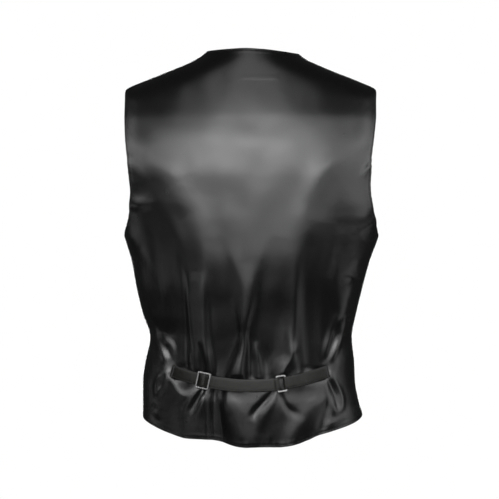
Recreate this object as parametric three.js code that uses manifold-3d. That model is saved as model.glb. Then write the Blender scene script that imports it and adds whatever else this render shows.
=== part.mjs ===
// A suit waistcoat in the hollow form that it has when worn: a one-piece satin back with an adjusting
// strap, and two plain fronts that button left over right. Neck, armholes, front V and hem are open.
// Millimetres. +Z is up, +X is the wearer's right and -Y is the wearer's back.
// The origin lies midway between the neck points, where the shoulder seams end, level with the left one.

import * as THREE from 'three';
import { mergeVertices } from 'three/addons/utils/BufferGeometryUtils.js';
import Module from 'manifold-3d';

const wasm = await Module();
wasm.setup();

// Cloth and seams
const BACK_THICKNESS = 1.6;
const FRONT_THICKNESS = 2.2;
const SEAM_GAP = 0.3;

// Heights of the main points, below the wearer's left neck point
const LEFT_NECK_HEIGHT = 0;
const RIGHT_NECK_HEIGHT = -3;
const SHOULDER_TIP_HEIGHT = -58;
const UNDERARM_HEIGHT = -283;
const SIDE_HEM_HEIGHT = -553;

// Half widths of the worn form: where the arms pass through, it is wider than the cloth
const WIDTHS = [
  { height: 12, left: 60, right: 60 },
  { height: 0, left: 67, right: 70 },
  { height: -6, left: 74, right: 77 },
  { height: -14, left: 87, right: 89 },
  { height: -44, left: 160, right: 162 },
  { height: -58, left: 190, right: 191 },
  { height: -75, left: 193, right: 193 },
  { height: -105, left: 198, right: 197 },
  { height: -150, left: 204, right: 200 },
  { height: -196, left: 208.5, right: 206.5 },
  { height: -227, left: 207, right: 208 },
  { height: -250, left: 200, right: 203.5 },
  { height: -266, left: 195, right: 198 },
  { height: -283, left: 191, right: 194 },
  { height: -322, left: 180, right: 180.5 },
  { height: -361, left: 173, right: 170 },
  { height: -398, left: 164, right: 161 },
  { height: -435, left: 153, right: 154.5 },
  { height: -471, left: 160, right: 158 },
  { height: -502, left: 164, right: 159.5 },
  { height: -532, left: 164, right: 165 },
  { height: -555, left: 164, right: 171 },
  { height: -640, left: 168, right: 175 },
];

// Depths of the worn form behind and before the seams. A power over 2 makes that half flatter.
const DEPTHS = [
  { height: 12, back: 60, front: 42, backPower: 2.0, frontPower: 2.0 },
  { height: 0, back: 68, front: 50, backPower: 2.0, frontPower: 2.0 },
  { height: -29, back: 83, front: 65, backPower: 2.0, frontPower: 2.0 },
  { height: -58, back: 95, front: 80, backPower: 1.9, frontPower: 1.9 },
  { height: -80, back: 102, front: 89, backPower: 2.05, frontPower: 1.95 },
  { height: -105, back: 109, front: 98, backPower: 2.25, frontPower: 2.0 },
  { height: -150, back: 117, front: 111, backPower: 2.5, frontPower: 2.05 },
  { height: -196, back: 120.5, front: 119.5, backPower: 2.6, frontPower: 2.05 },
  { height: -250, back: 121, front: 122, backPower: 2.6, frontPower: 2.1 },
  { height: -300, back: 120, front: 118.3, backPower: 2.5, frontPower: 2.1 },
  { height: -345, back: 116.5, front: 113.6, backPower: 2.4, frontPower: 2.1 },
  { height: -398, back: 107.5, front: 108, backPower: 2.25, frontPower: 2.1 },
  { height: -440, back: 99.8, front: 104.7, backPower: 2.2, frontPower: 2.1 },
  { height: -475, back: 94, front: 104.5, backPower: 2.2, frontPower: 2.1 },
  { height: -492, back: 93, front: 105, backPower: 2.2, frontPower: 2.1 },
  { height: -512, back: 93, front: 105.5, backPower: 2.2, frontPower: 2.1 },
  { height: -530, back: 94.6, front: 106.7, backPower: 2.2, frontPower: 2.1 },
  { height: -560, back: 93, front: 109, backPower: 2.2, frontPower: 2.1 },
  { height: -595, back: 89.5, front: 111.5, backPower: 2.2, frontPower: 2.1 },
  { height: -640, back: 84, front: 116, backPower: 2.2, frontPower: 2.1 },
];

// Armholes: how far the edge is cut away behind and before the shoulder seam
const ARMHOLE_BACK_REACH = 78;
const ARMHOLE_FRONT_REACH = 84;
const ARMHOLE_LOW_SKEW = 0.6;
const ARMHOLE_FULLNESS = 0.8;

// Back hem by girth angle: 0 is the centre back and 90 the wearer's right side seam
const BACK_HEM = [
  { angle: -90, height: -553 },
  { angle: -76, height: -563 },
  { angle: -62, height: -575 },
  { angle: -52, height: -582 },
  { angle: -40, height: -583.5 },
  { angle: -30, height: -587.5 },
  { angle: -18, height: -592.5 },
  { angle: -4, height: -595 },
  { angle: 23, height: -595 },
  { angle: 38, height: -591 },
  { angle: 56, height: -576 },
  { angle: 73, height: -563 },
  { angle: 90, height: -549.5 },
];
const HEM_FADE_POWER = 1.5;

// Back neckline by girth angle. It falls lower on the wearer's right, as that shoulder does.
const BACK_NECKLINE = [
  { angle: -90, height: 0 },
  { angle: -50, height: -1.2 },
  { angle: -10, height: -0.8 },
  { angle: 15, height: -1.8 },
  { angle: 38, height: -4 },
  { angle: 60, height: -5 },
  { angle: 90, height: -3 },
];

// Front edges, measured across from the centre front
const LAP = 15;
const V_HEIGHT = -290;
const V_TOP_INSET = 4;
const V_BOW = 0.9;
const CUTAWAY_HEIGHT = -517;
const POINT_HEIGHT = -602;
const POINT_ACROSS = 54;
const CUTAWAY_BOW = 1.35;
const FRONT_HEM_TOP = -400;
const FRONT_HEM_BOW = 1.25;
const LAP_GAP = 0.5;
const LAP_STEP_START = 22;
const LAP_STEP_END = 62;

// Adjusting strap, in its own coordinates: along it, out from the cloth, and across its width
const STRAP_WIDTH = 19;
const STRAP_THICKNESS = 1;
const STRAP_LOW_HEIGHT = -502.5;
const STRAP_RISE = 22;
const STRAP_HALF_SPAN = 120;
const STRAP_PRESS_INNER = 16;
const STRAP_PRESS_OUTER = 30;
const STRAP_LOW_LAYER = 0.95;
const STRAP_HIGH_LAYER = 2.3;
const STRAP_END_LAYER = 0.85;
const LEFT_END = -124;
const RIGHT_END = 122;

// Slider and ring
const HARDWARE_BAR = 2.4;
const HARDWARE_DEPTH = 1.1;
const HARDWARE_RAIL = 2.2;
const HARDWARE_CORNER = 2.2;
const SLOT_HEIGHT = 20.4;
const SLIDER_CENTRE = -71;
const SLIDER_LENGTH = 20.6;
const SLIDER_OUT = 3.15;
const RING_CENTRE = 45.5;
const RING_LENGTH = 15;
const RING_OUT = 1.75;

// Buttons
const BUTTON_COUNT = 5;
const TOP_BUTTON_HEIGHT = -303;
const BUTTON_SPACING = 51;
const BUTTON_RADIUS = 7.5;
const BUTTON_THICKNESS = 2.8;
const BUTTON_HOLE_RADIUS = 0.9;
const BUTTON_HOLE_OFFSET = 1.7;
const BUTTON_LIFT = 0.3;

// Mesh fineness
const BACK_COLUMNS = 50;
const FRONT_COLUMNS = 12;
const LOWER_ROWS = 19;
const ARMHOLE_ROWS = 12;
const SHOULDER_ROWS = 5;
const STRAP_STEPS = 4;
const NORMAL_STEP = 0.002;
const ROW_BEND = 2.5;

// Folds of the back, as ridges (height over 0) and troughs (under 0) seen from behind. Each runs from one
// point to another, is highest at the share peak of its length, and fades across it over width.
const BACK_FOLDS = [
  // The taut V between the armholes and the small of the back
  { fromX: -176, fromZ: -128, toX: -92, toZ: -240, width: 20, height: 3.5, peak: 0.4 },
  { fromX: -104, fromZ: -215, toX: -34, toZ: -385, width: 18, height: 2.4, peak: 0.4 },
  { fromX: 178, fromZ: -118, toX: 84, toZ: -215, width: 19, height: 3.5, peak: 0.4 },
  { fromX: 96, fromZ: -190, toX: 34, toZ: -380, width: 18, height: 2.4, peak: 0.4 },
  { fromX: -160, fromZ: -205, toX: -122, toZ: -330, width: 15, height: -4, peak: 0.45 },
  { fromX: 136, fromZ: -215, toX: 118, toZ: -335, width: 16, height: -4.5, peak: 0.45 },
  { fromX: -168, fromZ: -250, toX: -140, toZ: -320, width: 10, height: 3, peak: 0.5 },
  { fromX: 176, fromZ: -268, toX: 146, toZ: -330, width: 10, height: 3, peak: 0.5 },
  // Above the strap, from the wearer's left to right
  { fromX: -148, fromZ: -405, toX: -128, toZ: -470, width: 7, height: 4.5, peak: 0.65 },
  { fromX: -134, fromZ: -440, toX: -123, toZ: -476, width: 4.5, height: -3.5, peak: 0.8 },
  { fromX: -81, fromZ: -335, toX: -68, toZ: -486, width: 12, height: 5.5, peak: 0.7 },
  { fromX: -70, fromZ: -430, toX: -68, toZ: -490, width: 5.5, height: -4.5, peak: 0.9 },
  { fromX: 0, fromZ: -335, toX: -9, toZ: -425, width: 9, height: 2.5, peak: 0.5 },
  { fromX: -7, fromZ: -395, toX: -20, toZ: -494, width: 9, height: 4, peak: 0.7 },
  { fromX: 1, fromZ: -395, toX: 3, toZ: -494, width: 6, height: -3, peak: 0.75 },
  { fromX: 60, fromZ: -395, toX: 64, toZ: -460, width: 8, height: 2.5, peak: 0.7 },
  { fromX: 65, fromZ: -440, toX: 49, toZ: -490, width: 7, height: 4, peak: 0.5 },
  { fromX: 150, fromZ: -345, toX: 132, toZ: -425, width: 9, height: 4, peak: 0.5 },
  { fromX: 142, fromZ: -400, toX: 121, toZ: -474, width: 6.5, height: 5, peak: 0.6 },
  { fromX: 131, fromZ: -420, toX: 119, toZ: -474, width: 5, height: -4, peak: 0.7 },
  // Below the strap, from the wearer's left to right
  { fromX: -127, fromZ: -492, toX: -148, toZ: -535, width: 6, height: 4, peak: 0.4 },
  { fromX: -75, fromZ: -506, toX: -98, toZ: -585, width: 10, height: 5, peak: 0.5 },
  { fromX: -70, fromZ: -508, toX: -86, toZ: -550, width: 5.5, height: -4.5, peak: 0.35 },
  { fromX: -62, fromZ: -512, toX: -42, toZ: -592, width: 13, height: -5, peak: 0.6 },
  { fromX: 34, fromZ: -514, toX: 0, toZ: -560, width: 7, height: -5, peak: 0.4 },
  { fromX: 40, fromZ: -514, toX: 16, toZ: -590, width: 10, height: 4.5, peak: 0.55 },
  { fromX: 114, fromZ: -494, toX: 66, toZ: -588, width: 13, height: 5, peak: 0.55 },
  { fromX: 119, fromZ: -494, toX: 138, toZ: -548, width: 5.5, height: -4.5, peak: 0.45 },
];

// Folds of the fronts, seen from the front's side of the form, in the same coordinates
const FRONT_FOLDS = [
  { fromX: -168, fromZ: -240, toX: -96, toZ: -300, width: 15, height: 3, peak: 0.35 },
  { fromX: 170, fromZ: -245, toX: 100, toZ: -292, width: 14, height: 2.8, peak: 0.4 },
  { fromX: -146, fromZ: -400, toX: -60, toZ: -448, width: 14, height: 3, peak: 0.35 },
  { fromX: 146, fromZ: -412, toX: 52, toZ: -440, width: 13, height: 2.6, peak: 0.45 },
  { fromX: -140, fromZ: -470, toX: -46, toZ: -492, width: 12, height: -2.6, peak: 0.4 },
  { fromX: 138, fromZ: -462, toX: 60, toZ: -486, width: 12, height: -2.4, peak: 0.5 },
  { fromX: -104, fromZ: -505, toX: -112, toZ: -590, width: 14, height: 3.5, peak: 0.75 },
  { fromX: 96, fromZ: -500, toX: 108, toZ: -588, width: 15, height: 3.2, peak: 0.75 },
];
const FOLD_SIDE_FADE = 0.42;

const satin = new THREE.MeshStandardMaterial({ color: 0x161617, roughness: 0.35, metalness: 0 });
const suiting = new THREE.MeshStandardMaterial({ color: 0x1b1b1d, roughness: 0.85, metalness: 0 });
const strapSatin = new THREE.MeshStandardMaterial({ color: 0x2a2a27, roughness: 0.45, metalness: 0 });
const nickel = new THREE.MeshStandardMaterial({ color: 0x8d8f92, roughness: 0.2, metalness: 1 });
const horn = new THREE.MeshStandardMaterial({ color: 0x121214, roughness: 0.3, metalness: 0 });

const { clamp, lerp, smoothstep } = THREE.MathUtils;

// Reads one column of a table at any position, through a smooth curve that never overshoots its rows
function readTable(table, positionKey, valueKey) {
  const rows = [...table].sort((a, b) => a[positionKey] - b[positionKey]);
  const at = rows.map((row) => row[positionKey]);
  const value = rows.map((row) => row[valueKey]);
  const last = rows.length - 1;
  const chord = at.slice(1).map((position, i) => (value[i + 1] - value[i]) / (position - at[i]));
  const slope = value.map((_, i) => {
    if (i === 0 || i === last) return chord[Math.min(i, last - 1)];
    const [before, after] = [chord[i - 1], chord[i]];
    return before * after <= 0 ? 0 : (2 * before * after) / (before + after);
  });
  return (position) => {
    const p = clamp(position, at[0], at[last]);
    const i = Math.min(at.findLastIndex((row) => row <= p), last - 1);
    const span = at[i + 1] - at[i];
    const t = (p - at[i]) / span;
    const rise = value[i + 1] - value[i];
    const start = span * slope[i];
    const end = span * slope[i + 1];
    return value[i] + t * (start + t * (3 * rise - 2 * start - end + t * (start + end - 2 * rise)));
  };
}

const form = {
  left: readTable(WIDTHS, 'height', 'left'),
  right: readTable(WIDTHS, 'height', 'right'),
  back: readTable(DEPTHS, 'height', 'back'),
  front: readTable(DEPTHS, 'height', 'front'),
  backPower: readTable(DEPTHS, 'height', 'backPower'),
  frontPower: readTable(DEPTHS, 'height', 'frontPower'),
};
const backHemHeight = readTable(BACK_HEM, 'angle', 'height');
const backNeckHeight = readTable(BACK_NECKLINE, 'angle', 'height');

// The ring of the form at a height, for the half and side that are asked for
function ringSizes(height, onRight, onBack) {
  return {
    width: (onRight ? form.right : form.left)(height),
    depth: (onBack ? form.back : form.front)(height),
    power: (onBack ? form.backPower : form.frontPower)(height),
  };
}

// The form's point at a girth angle, in radians from the centre back towards the wearer's right
function formPoint(angle, height) {
  const { width, depth, power } = ringSizes(height, Math.sin(angle) > 0, Math.cos(angle) > 0);
  const [across, away] = [Math.abs(Math.sin(angle)) / width, Math.abs(Math.cos(angle)) / depth];
  const radius = (across ** power + away ** power) ** (-1 / power);
  return new THREE.Vector3(radius * Math.sin(angle), -radius * Math.cos(angle), height);
}

// One coordinate of a ring from the other: how wide it is at a depth, or how deep at a width
function ringCoordinate(known, knownSize, wantedSize, power) {
  return wantedSize * (1 - clamp(Math.abs(known) / knownSize, 0, 1) ** power) ** (1 / power);
}

// How far the adjusting strap hangs at a distance across the back
function strapHeight(x) {
  return STRAP_LOW_HEIGHT + STRAP_RISE * (x / STRAP_HALF_SPAN) ** 2;
}

// The height of one fold at a point seen from behind or before
function foldHeight(fold, x, z) {
  const [runX, runZ] = [fold.toX - fold.fromX, fold.toZ - fold.fromZ];
  const share = ((x - fold.fromX) * runX + (z - fold.fromZ) * runZ) / (runX ** 2 + runZ ** 2);
  if (share <= 0 || share >= 1) return 0;
  const [missX, missZ] = [x - fold.fromX - share * runX, z - fold.fromZ - share * runZ];
  const distance = Math.hypot(missX, missZ) / fold.width;
  const lengthwise = share < fold.peak ? share / fold.peak : (1 - share) / (1 - fold.peak);
  return fold.height * Math.exp(-(distance ** 2)) * Math.sin((Math.PI / 2) * lengthwise) ** 2;
}

// All folds at a point of the form. They fade out towards the side seams, and the strap holds ridges down.
function foldsAt(point, angle) {
  const onBack = Math.cos(angle) > 0;
  const folds = onBack ? BACK_FOLDS : FRONT_FOLDS;
  const sum = folds.reduce((total, fold) => total + foldHeight(fold, point.x, point.z), 0);
  const faded = sum * smoothstep(Math.abs(Math.cos(angle)), 0, FOLD_SIDE_FADE);
  if (!onBack || faded < 0) return faded;
  const fromStrap = Math.abs(point.z - strapHeight(point.x));
  return faded * smoothstep(fromStrap, STRAP_PRESS_INNER, STRAP_PRESS_OUTER);
}

// The outward direction of the form, without its folds
function formNormal(angle, height) {
  const round = formPoint(angle + NORMAL_STEP, height).sub(formPoint(angle - NORMAL_STEP, height));
  const up = formPoint(angle, height + 1).sub(formPoint(angle, height - 1));
  return round.cross(up).normalize();
}

// A point of the cloth's outer face: the form, moved out by its folds
function clothPoint(angle, height) {
  const point = formPoint(angle, height);
  return point.addScaledVector(formNormal(angle, height), foldsAt(point, angle));
}

// The outward direction of the cloth, with its folds
function clothNormal(angle, height) {
  const round = clothPoint(angle + NORMAL_STEP, height).sub(clothPoint(angle - NORMAL_STEP, height));
  const up = clothPoint(angle, height + 1).sub(clothPoint(angle, height - 1));
  return round.cross(up).normalize();
}

// The share by which the armhole's edge is cut away at a height, from 0 at the underarm to 0 at the tip
function armholeShare(height) {
  const rise = (height - UNDERARM_HEIGHT) / (SHOULDER_TIP_HEIGHT - UNDERARM_HEIGHT);
  if (rise <= 0 || rise >= 1) return 0;
  return Math.sin(Math.PI * rise ** ARMHOLE_LOW_SKEW) ** ARMHOLE_FULLNESS;
}

// The girth angle of a panel's outer edge: its side seam, armhole or shoulder seam, less half a seam gap
function outerEdgeAngle(level, onRight, onBack) {
  const { width, depth, power } = ringSizes(level, onRight, onBack);
  const away = armholeShare(level) * (onBack ? ARMHOLE_BACK_REACH : ARMHOLE_FRONT_REACH);
  const across = ringCoordinate(away, depth, width, power);
  const fromSide = Math.atan2(away, across) + SEAM_GAP / 2 / width;
  const angle = Math.PI / 2 + (onBack ? -fromSide : fromSide);
  return onRight ? angle : -angle;
}

// One row of a panel. Its place runs from 0 at the hem over 1 at the underarm and 2 at the shoulder tip
// to 3 at the neck. By an armhole, rows bend so that they meet its edge at even steps along it.
function panelRow(place, top) {
  if (place <= 1) {
    const height = lerp(SIDE_HEM_HEIGHT, UNDERARM_HEIGHT, place);
    return { inside: height, edge: height };
  }
  if (place <= 2) {
    const eased = (1 - Math.cos(Math.PI * (place - 1))) / 2;
    return {
      inside: lerp(UNDERARM_HEIGHT, SHOULDER_TIP_HEIGHT, place - 1),
      edge: lerp(UNDERARM_HEIGHT, SHOULDER_TIP_HEIGHT, eased),
    };
  }
  const height = lerp(SHOULDER_TIP_HEIGHT, top, place - 2);
  return { inside: height, edge: height };
}

// How much a row takes on the shape of the hem, from 0 where that starts to 1 at the hem itself
function hemFade(height, start) {
  return clamp((start - height) / (start - SIDE_HEM_HEIGHT), 0, 1) ** HEM_FADE_POWER;
}

// Where the back's cloth lies at a share of its girth, from the wearer's left to the right
function backPlace(share, row) {
  const angle = lerp(outerEdgeAngle(row.edge, false, true), outerEdgeAngle(row.edge, true, true), share);
  const degrees = (angle * 180) / Math.PI;
  const bend = Math.abs(2 * share - 1) ** ROW_BEND;
  const highFade = clamp((row.edge - SHOULDER_TIP_HEIGHT) / -SHOULDER_TIP_HEIGHT, 0, 1) ** HEM_FADE_POWER;
  const hemDrop = (backHemHeight(degrees) - SIDE_HEM_HEIGHT) * hemFade(row.edge, UNDERARM_HEIGHT);
  const neckDrop = backNeckHeight(degrees) * highFade;
  return { angle, height: lerp(row.inside, row.edge, bend) + hemDrop + neckDrop, step: 0 };
}

// How far a front reaches from the centre, towards its own side, along its V, button edge and cutaway
function frontEdgeAcross(height, onRight) {
  if (height > V_HEIGHT) {
    const top = (onRight ? form.right : form.left)(LEFT_NECK_HEIGHT) - V_TOP_INSET;
    return lerp(-LAP, top, ((height - V_HEIGHT) / (LEFT_NECK_HEIGHT - V_HEIGHT)) ** V_BOW);
  }
  const cut = clamp((CUTAWAY_HEIGHT - height) / (CUTAWAY_HEIGHT - POINT_HEIGHT), 0, 1);
  return lerp(-LAP, POINT_ACROSS, cut ** CUTAWAY_BOW);
}

// Where a front's cloth lies. The share runs with the girth angle: from the side to the edge on the
// wearer's right, and from the edge to the side on the left. The right front steps in under the left.
function frontPlace(onRight, share, row) {
  const fromSide = onRight ? share : 1 - share;
  const edgeHeight = row.inside + (POINT_HEIGHT - SIDE_HEM_HEIGHT) * hemFade(row.edge, FRONT_HEM_TOP);
  const across = frontEdgeAcross(edgeHeight, onRight);
  const { width, depth, power } = ringSizes(edgeHeight, across > 0 === onRight, false);
  const edge = Math.PI - Math.atan2(across, ringCoordinate(across, width, depth, power));
  const angle = lerp(outerEdgeAngle(row.edge, onRight, false), onRight ? edge : -edge, fromSide);
  const sideRise = (backHemHeight(onRight ? 90 : -90) - SIDE_HEM_HEIGHT) * hemFade(row.edge, UNDERARM_HEIGHT);
  const hung = lerp(row.edge + sideRise, edgeHeight + row.edge - row.inside, fromSide ** FRONT_HEM_BOW);
  const height = hung + (row.inside - row.edge) * (1 - (1 - fromSide) ** ROW_BEND);
  const toOwnSide = formPoint(angle, height).x * (onRight ? 1 : -1);
  const lapped = onRight ? 1 - smoothstep(toOwnSide, LAP_STEP_START, LAP_STEP_END) : 0;
  return { angle, height, step: -(FRONT_THICKNESS + LAP_GAP) * lapped };
}

// The places of a panel's rows
function rowPlaces() {
  const stretch = (start, rows) => Array.from({ length: rows }, (_, i) => start + i / rows);
  return [...stretch(0, LOWER_ROWS), ...stretch(1, ARMHOLE_ROWS), ...stretch(2, SHOULDER_ROWS), 3];
}

// A closed wall of cloth: its outer grid of points, the same grid moved in, and the strips between them
function clothWall(placeOf, columns, top, thickness) {
  const places = rowPlaces();
  const [outer, inner] = [[], []];
  for (const place of places) {
    const row = panelRow(place, top);
    for (let column = 0; column <= columns; column += 1) {
      const { angle, height, step } = placeOf(column / columns, row);
      const normal = clothNormal(angle, height);
      outer.push(clothPoint(angle, height).addScaledVector(normal, step));
      inner.push(clothPoint(angle, height).addScaledVector(normal, step - thickness));
    }
  }
  const stride = columns + 1;
  const lastRow = places.length - 1;
  const index = [];
  const quad = (a, b, c, d) => index.push(a, b, c, a, c, d);
  for (let row = 0; row < lastRow; row += 1) {
    for (let column = 0; column < columns; column += 1) {
      const corner = row * stride + column;
      quad(corner, corner + 1, corner + stride + 1, corner + stride);
      const under = corner + outer.length;
      quad(under, under + stride, under + stride + 1, under + 1);
    }
  }
  const strip = (from, to) => quad(from, to, to + outer.length, from + outer.length);
  for (let column = 0; column < columns; column += 1) {
    strip(column + 1, column);
    strip(lastRow * stride + column, lastRow * stride + column + 1);
  }
  for (let row = 0; row < lastRow; row += 1) {
    strip(row * stride, (row + 1) * stride);
    strip((row + 1) * stride + columns, row * stride + columns);
  }
  const geometry = new THREE.BufferGeometry().setFromPoints([...outer, ...inner]);
  geometry.setIndex(index);
  geometry.computeVertexNormals();
  return geometry;
}

// The line that the strap follows over the back, and a point in the strap's own coordinates
const strapLine = new THREE.CatmullRomCurve3(
  Array.from({ length: 29 }, (_, i) => {
    const x = lerp(-1, 1, i / 28) * (STRAP_HALF_SPAN + 15);
    const height = strapHeight(x);
    const { width, depth, power } = ringSizes(height, x > 0, true);
    return new THREE.Vector3(x, -ringCoordinate(x, width, depth, power), height);
  }),
);
strapLine.arcLengthDivisions = 400;
const strapLineMiddle = 0.5;

function strapFrame(along) {
  const place = strapLineMiddle + along / strapLine.getLength();
  const origin = strapLine.getPointAt(place);
  const tangent = strapLine.getTangentAt(place);
  const out = formNormal(Math.atan2(origin.x, -origin.y), origin.z);
  out.addScaledVector(tangent, -out.dot(tangent)).normalize();
  return { origin, tangent, out, across: out.clone().cross(tangent) };
}

function onStrap(along, out, across) {
  const frame = strapFrame(along);
  return frame.origin.addScaledVector(frame.out, out).addScaledVector(frame.across, across);
}

// A strap: a band of even width and thickness along a route in its own along and out coordinates
function strapGeometry(route) {
  const centre = new THREE.SplineCurve(route.map(([along, out]) => new THREE.Vector2(along, out)));
  const sections = (route.length - 1) * STRAP_STEPS;
  const corners = [[-1, 1], [-1, -1], [1, -1], [1, 1]];
  const points = [];
  for (let i = 0; i <= sections; i += 1) {
    const { x: along, y: out } = centre.getPoint(i / sections);
    const heading = centre.getTangent(i / sections);
    for (const [face, edge] of corners) {
      const half = (face * STRAP_THICKNESS) / 2;
      points.push(onStrap(along - heading.y * half, out + heading.x * half, (edge * STRAP_WIDTH) / 2));
    }
  }
  const index = [0, 1, 2, 0, 2, 3];
  for (let i = 0; i < sections; i += 1) {
    for (let corner = 0; corner < 4; corner += 1) {
      const [here, next] = [4 * i + corner, 4 * i + ((corner + 1) % 4)];
      index.push(here, here + 4, next + 4, here, next + 4, next);
    }
  }
  const last = 4 * sections;
  index.push(last, last + 2, last + 1, last, last + 3, last + 2);
  const geometry = new THREE.BufferGeometry().setFromPoints(points);
  geometry.setIndex(index);
  geometry.computeVertexNormals();
  return geometry;
}

// Where the long strap lies: from its sewn end under the slider's first bar, over its middle bar, under
// its last bar, round the ring's left bar, and back below itself to a loop round the middle bar
function longStrapRoute() {
  const [slider, ring] = [SLIDER_CENTRE, RING_CENTRE];
  return [
    [LEFT_END, STRAP_END_LAYER],
    [LEFT_END + 8, STRAP_LOW_LAYER],
    [slider - 26, STRAP_LOW_LAYER],
    [slider - 14, STRAP_LOW_LAYER],
    [slider - 9, 1.1],
    [slider - 6.6, 2],
    [slider - 4.5, 4.6],
    [slider - 2.5, 6.2],
    [slider, 6.7],
    [slider + 2.5, 6.2],
    [slider + 4.8, 4.2],
    [slider + 6.8, 2.7],
    [slider + 9.5, STRAP_HIGH_LAYER],
    [slider + 24, STRAP_HIGH_LAYER],
    [lerp(slider, ring, 0.4), STRAP_HIGH_LAYER],
    [lerp(slider, ring, 0.6), STRAP_HIGH_LAYER],
    [ring - 24, STRAP_HIGH_LAYER],
    [ring - 12, 2.7],
    [ring - 8.8, 3.7],
    [ring - 6.4, 4.1],
    [ring - 4.5, 3.6],
    [ring - 3.7, 2.4],
    [ring - 4.5, 1.2],
    [ring - 6.4, STRAP_LOW_LAYER],
    [ring - 12, STRAP_LOW_LAYER],
    [ring - 30, STRAP_LOW_LAYER],
    [lerp(slider, ring, 0.5), STRAP_LOW_LAYER],
    [slider + 30, STRAP_LOW_LAYER],
    [slider + 12, STRAP_LOW_LAYER],
    [slider + 5, STRAP_LOW_LAYER],
    [slider + 2.2, 1.4],
    [slider - 0.6, 2.1],
    [slider - 2.4, 3],
    [slider - 2.6, 4.4],
    [slider - 1.1, 5.25],
    [slider + 1.1, 5.25],
    [slider + 2.3, 4.5],
    [slider + 2.4, 3.5],
  ];
}

// Where the short strap lies: from its tucked end, round the ring's right bar and on to its sewn end
function shortStrapRoute() {
  const ring = RING_CENTRE;
  return [
    [ring + 27, STRAP_LOW_LAYER],
    [ring + 18, STRAP_LOW_LAYER],
    [ring + 10, STRAP_LOW_LAYER],
    [ring + 6.4, STRAP_LOW_LAYER],
    [ring + 4.5, 1.2],
    [ring + 3.7, 2.4],
    [ring + 4.5, 3.6],
    [ring + 6.4, 4.1],
    [ring + 8.8, 3.7],
    [ring + 12, 2.7],
    [ring + 18, STRAP_HIGH_LAYER],
    [ring + 28, STRAP_HIGH_LAYER],
    [ring + 40, 1.2],
    [ring + 55, STRAP_LOW_LAYER],
    [RIGHT_END - 8, STRAP_LOW_LAYER],
    [RIGHT_END, STRAP_END_LAYER],
  ];
}

// A rectangle with round corners, as a Shape or as the Path of a hole
function roundedRectangle(Outline, centreX, width, height, corner) {
  const outline = new Outline();
  const [halfWidth, halfHeight] = [width / 2 - corner, height / 2 - corner];
  outline.absarc(centreX + halfWidth, halfHeight, corner, 0, Math.PI / 2);
  outline.absarc(centreX - halfWidth, halfHeight, corner, Math.PI / 2, Math.PI);
  outline.absarc(centreX - halfWidth, -halfHeight, corner, Math.PI, 1.5 * Math.PI);
  outline.absarc(centreX + halfWidth, -halfHeight, corner, 1.5 * Math.PI, 2 * Math.PI);
  outline.closePath();
  return outline;
}

// A flat metal frame with one slot between each two bars, in the plane of along and across
function frameGeometry(length, bars) {
  const height = SLOT_HEIGHT + 2 * HARDWARE_RAIL;
  const plate = roundedRectangle(THREE.Shape, 0, length, height, HARDWARE_CORNER);
  const slotLength = (length - bars * HARDWARE_BAR) / (bars - 1);
  for (let slot = 0; slot < bars - 1; slot += 1) {
    const centre = -length / 2 + HARDWARE_BAR + slotLength / 2 + slot * (slotLength + HARDWARE_BAR);
    plate.holes.push(roundedRectangle(THREE.Path, centre, slotLength, SLOT_HEIGHT, 0.6));
  }
  return new THREE.ExtrudeGeometry(plate, { depth: HARDWARE_DEPTH, bevelEnabled: false, curveSegments: 3 });
}

// Places a rigid piece, modelled with its underside at z 0, on the strap line at a height over the cloth
function placeOnStrap(mesh, along, out) {
  const frame = strapFrame(along);
  const turn = new THREE.Matrix4().makeBasis(frame.tangent, frame.across, frame.out);
  mesh.quaternion.setFromRotationMatrix(turn);
  mesh.position.copy(frame.origin.addScaledVector(frame.out, out));
  return mesh;
}

// A solid for cutting, from a closed geometry
function toSolid(source) {
  const bare = source.clone();
  bare.deleteAttribute('normal');
  bare.deleteAttribute('uv');
  const merged = mergeVertices(bare, 1e-5);
  return new wasm.Manifold(
    new wasm.Mesh({
      numProp: 3,
      vertProperties: new Float32Array(merged.attributes.position.array),
      triVerts: new Uint32Array(merged.index.array),
    }),
  );
}

function toGeometry(solid) {
  const mesh = solid.getMesh();
  const geometry = new THREE.BufferGeometry();
  geometry.setAttribute('position', new THREE.BufferAttribute(mesh.vertProperties, 3));
  geometry.setIndex(new THREE.BufferAttribute(mesh.triVerts, 1));
  geometry.computeVertexNormals();
  return geometry;
}

// A round button with a raised rim, a dished face and four thread holes, its underside at z 0
function buttonGeometry() {
  const rim = BUTTON_RADIUS * 0.72;
  const dish = BUTTON_THICKNESS * 0.66;
  const profile = [
    [0, 0],
    [BUTTON_RADIUS * 0.86, 0],
    [BUTTON_RADIUS, BUTTON_THICKNESS * 0.4],
    [BUTTON_RADIUS * 0.93, BUTTON_THICKNESS * 0.9],
    [BUTTON_RADIUS * 0.82, BUTTON_THICKNESS],
    [rim, dish],
    [0, dish],
  ].map(([radius, height]) => new THREE.Vector2(radius, height));
  const disc = new THREE.LatheGeometry(profile, 20);
  disc.rotateX(Math.PI / 2);
  let solid = toSolid(disc);
  for (const [x, y] of [[1, 1], [1, -1], [-1, 1], [-1, -1]]) {
    const drill = new THREE.CylinderGeometry(BUTTON_HOLE_RADIUS, BUTTON_HOLE_RADIUS, 3 * BUTTON_THICKNESS, 8);
    drill.rotateX(Math.PI / 2);
    drill.translate(x * BUTTON_HOLE_OFFSET, y * BUTTON_HOLE_OFFSET, 0);
    solid = solid.subtract(toSolid(drill));
  }
  return toGeometry(solid);
}

function namedMesh(name, geometry, material) {
  const mesh = new THREE.Mesh(geometry, material);
  mesh.name = name;
  return mesh;
}

function makeBack() {
  return namedMesh('back', clothWall(backPlace, BACK_COLUMNS, LEFT_NECK_HEIGHT, BACK_THICKNESS), satin);
}

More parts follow.
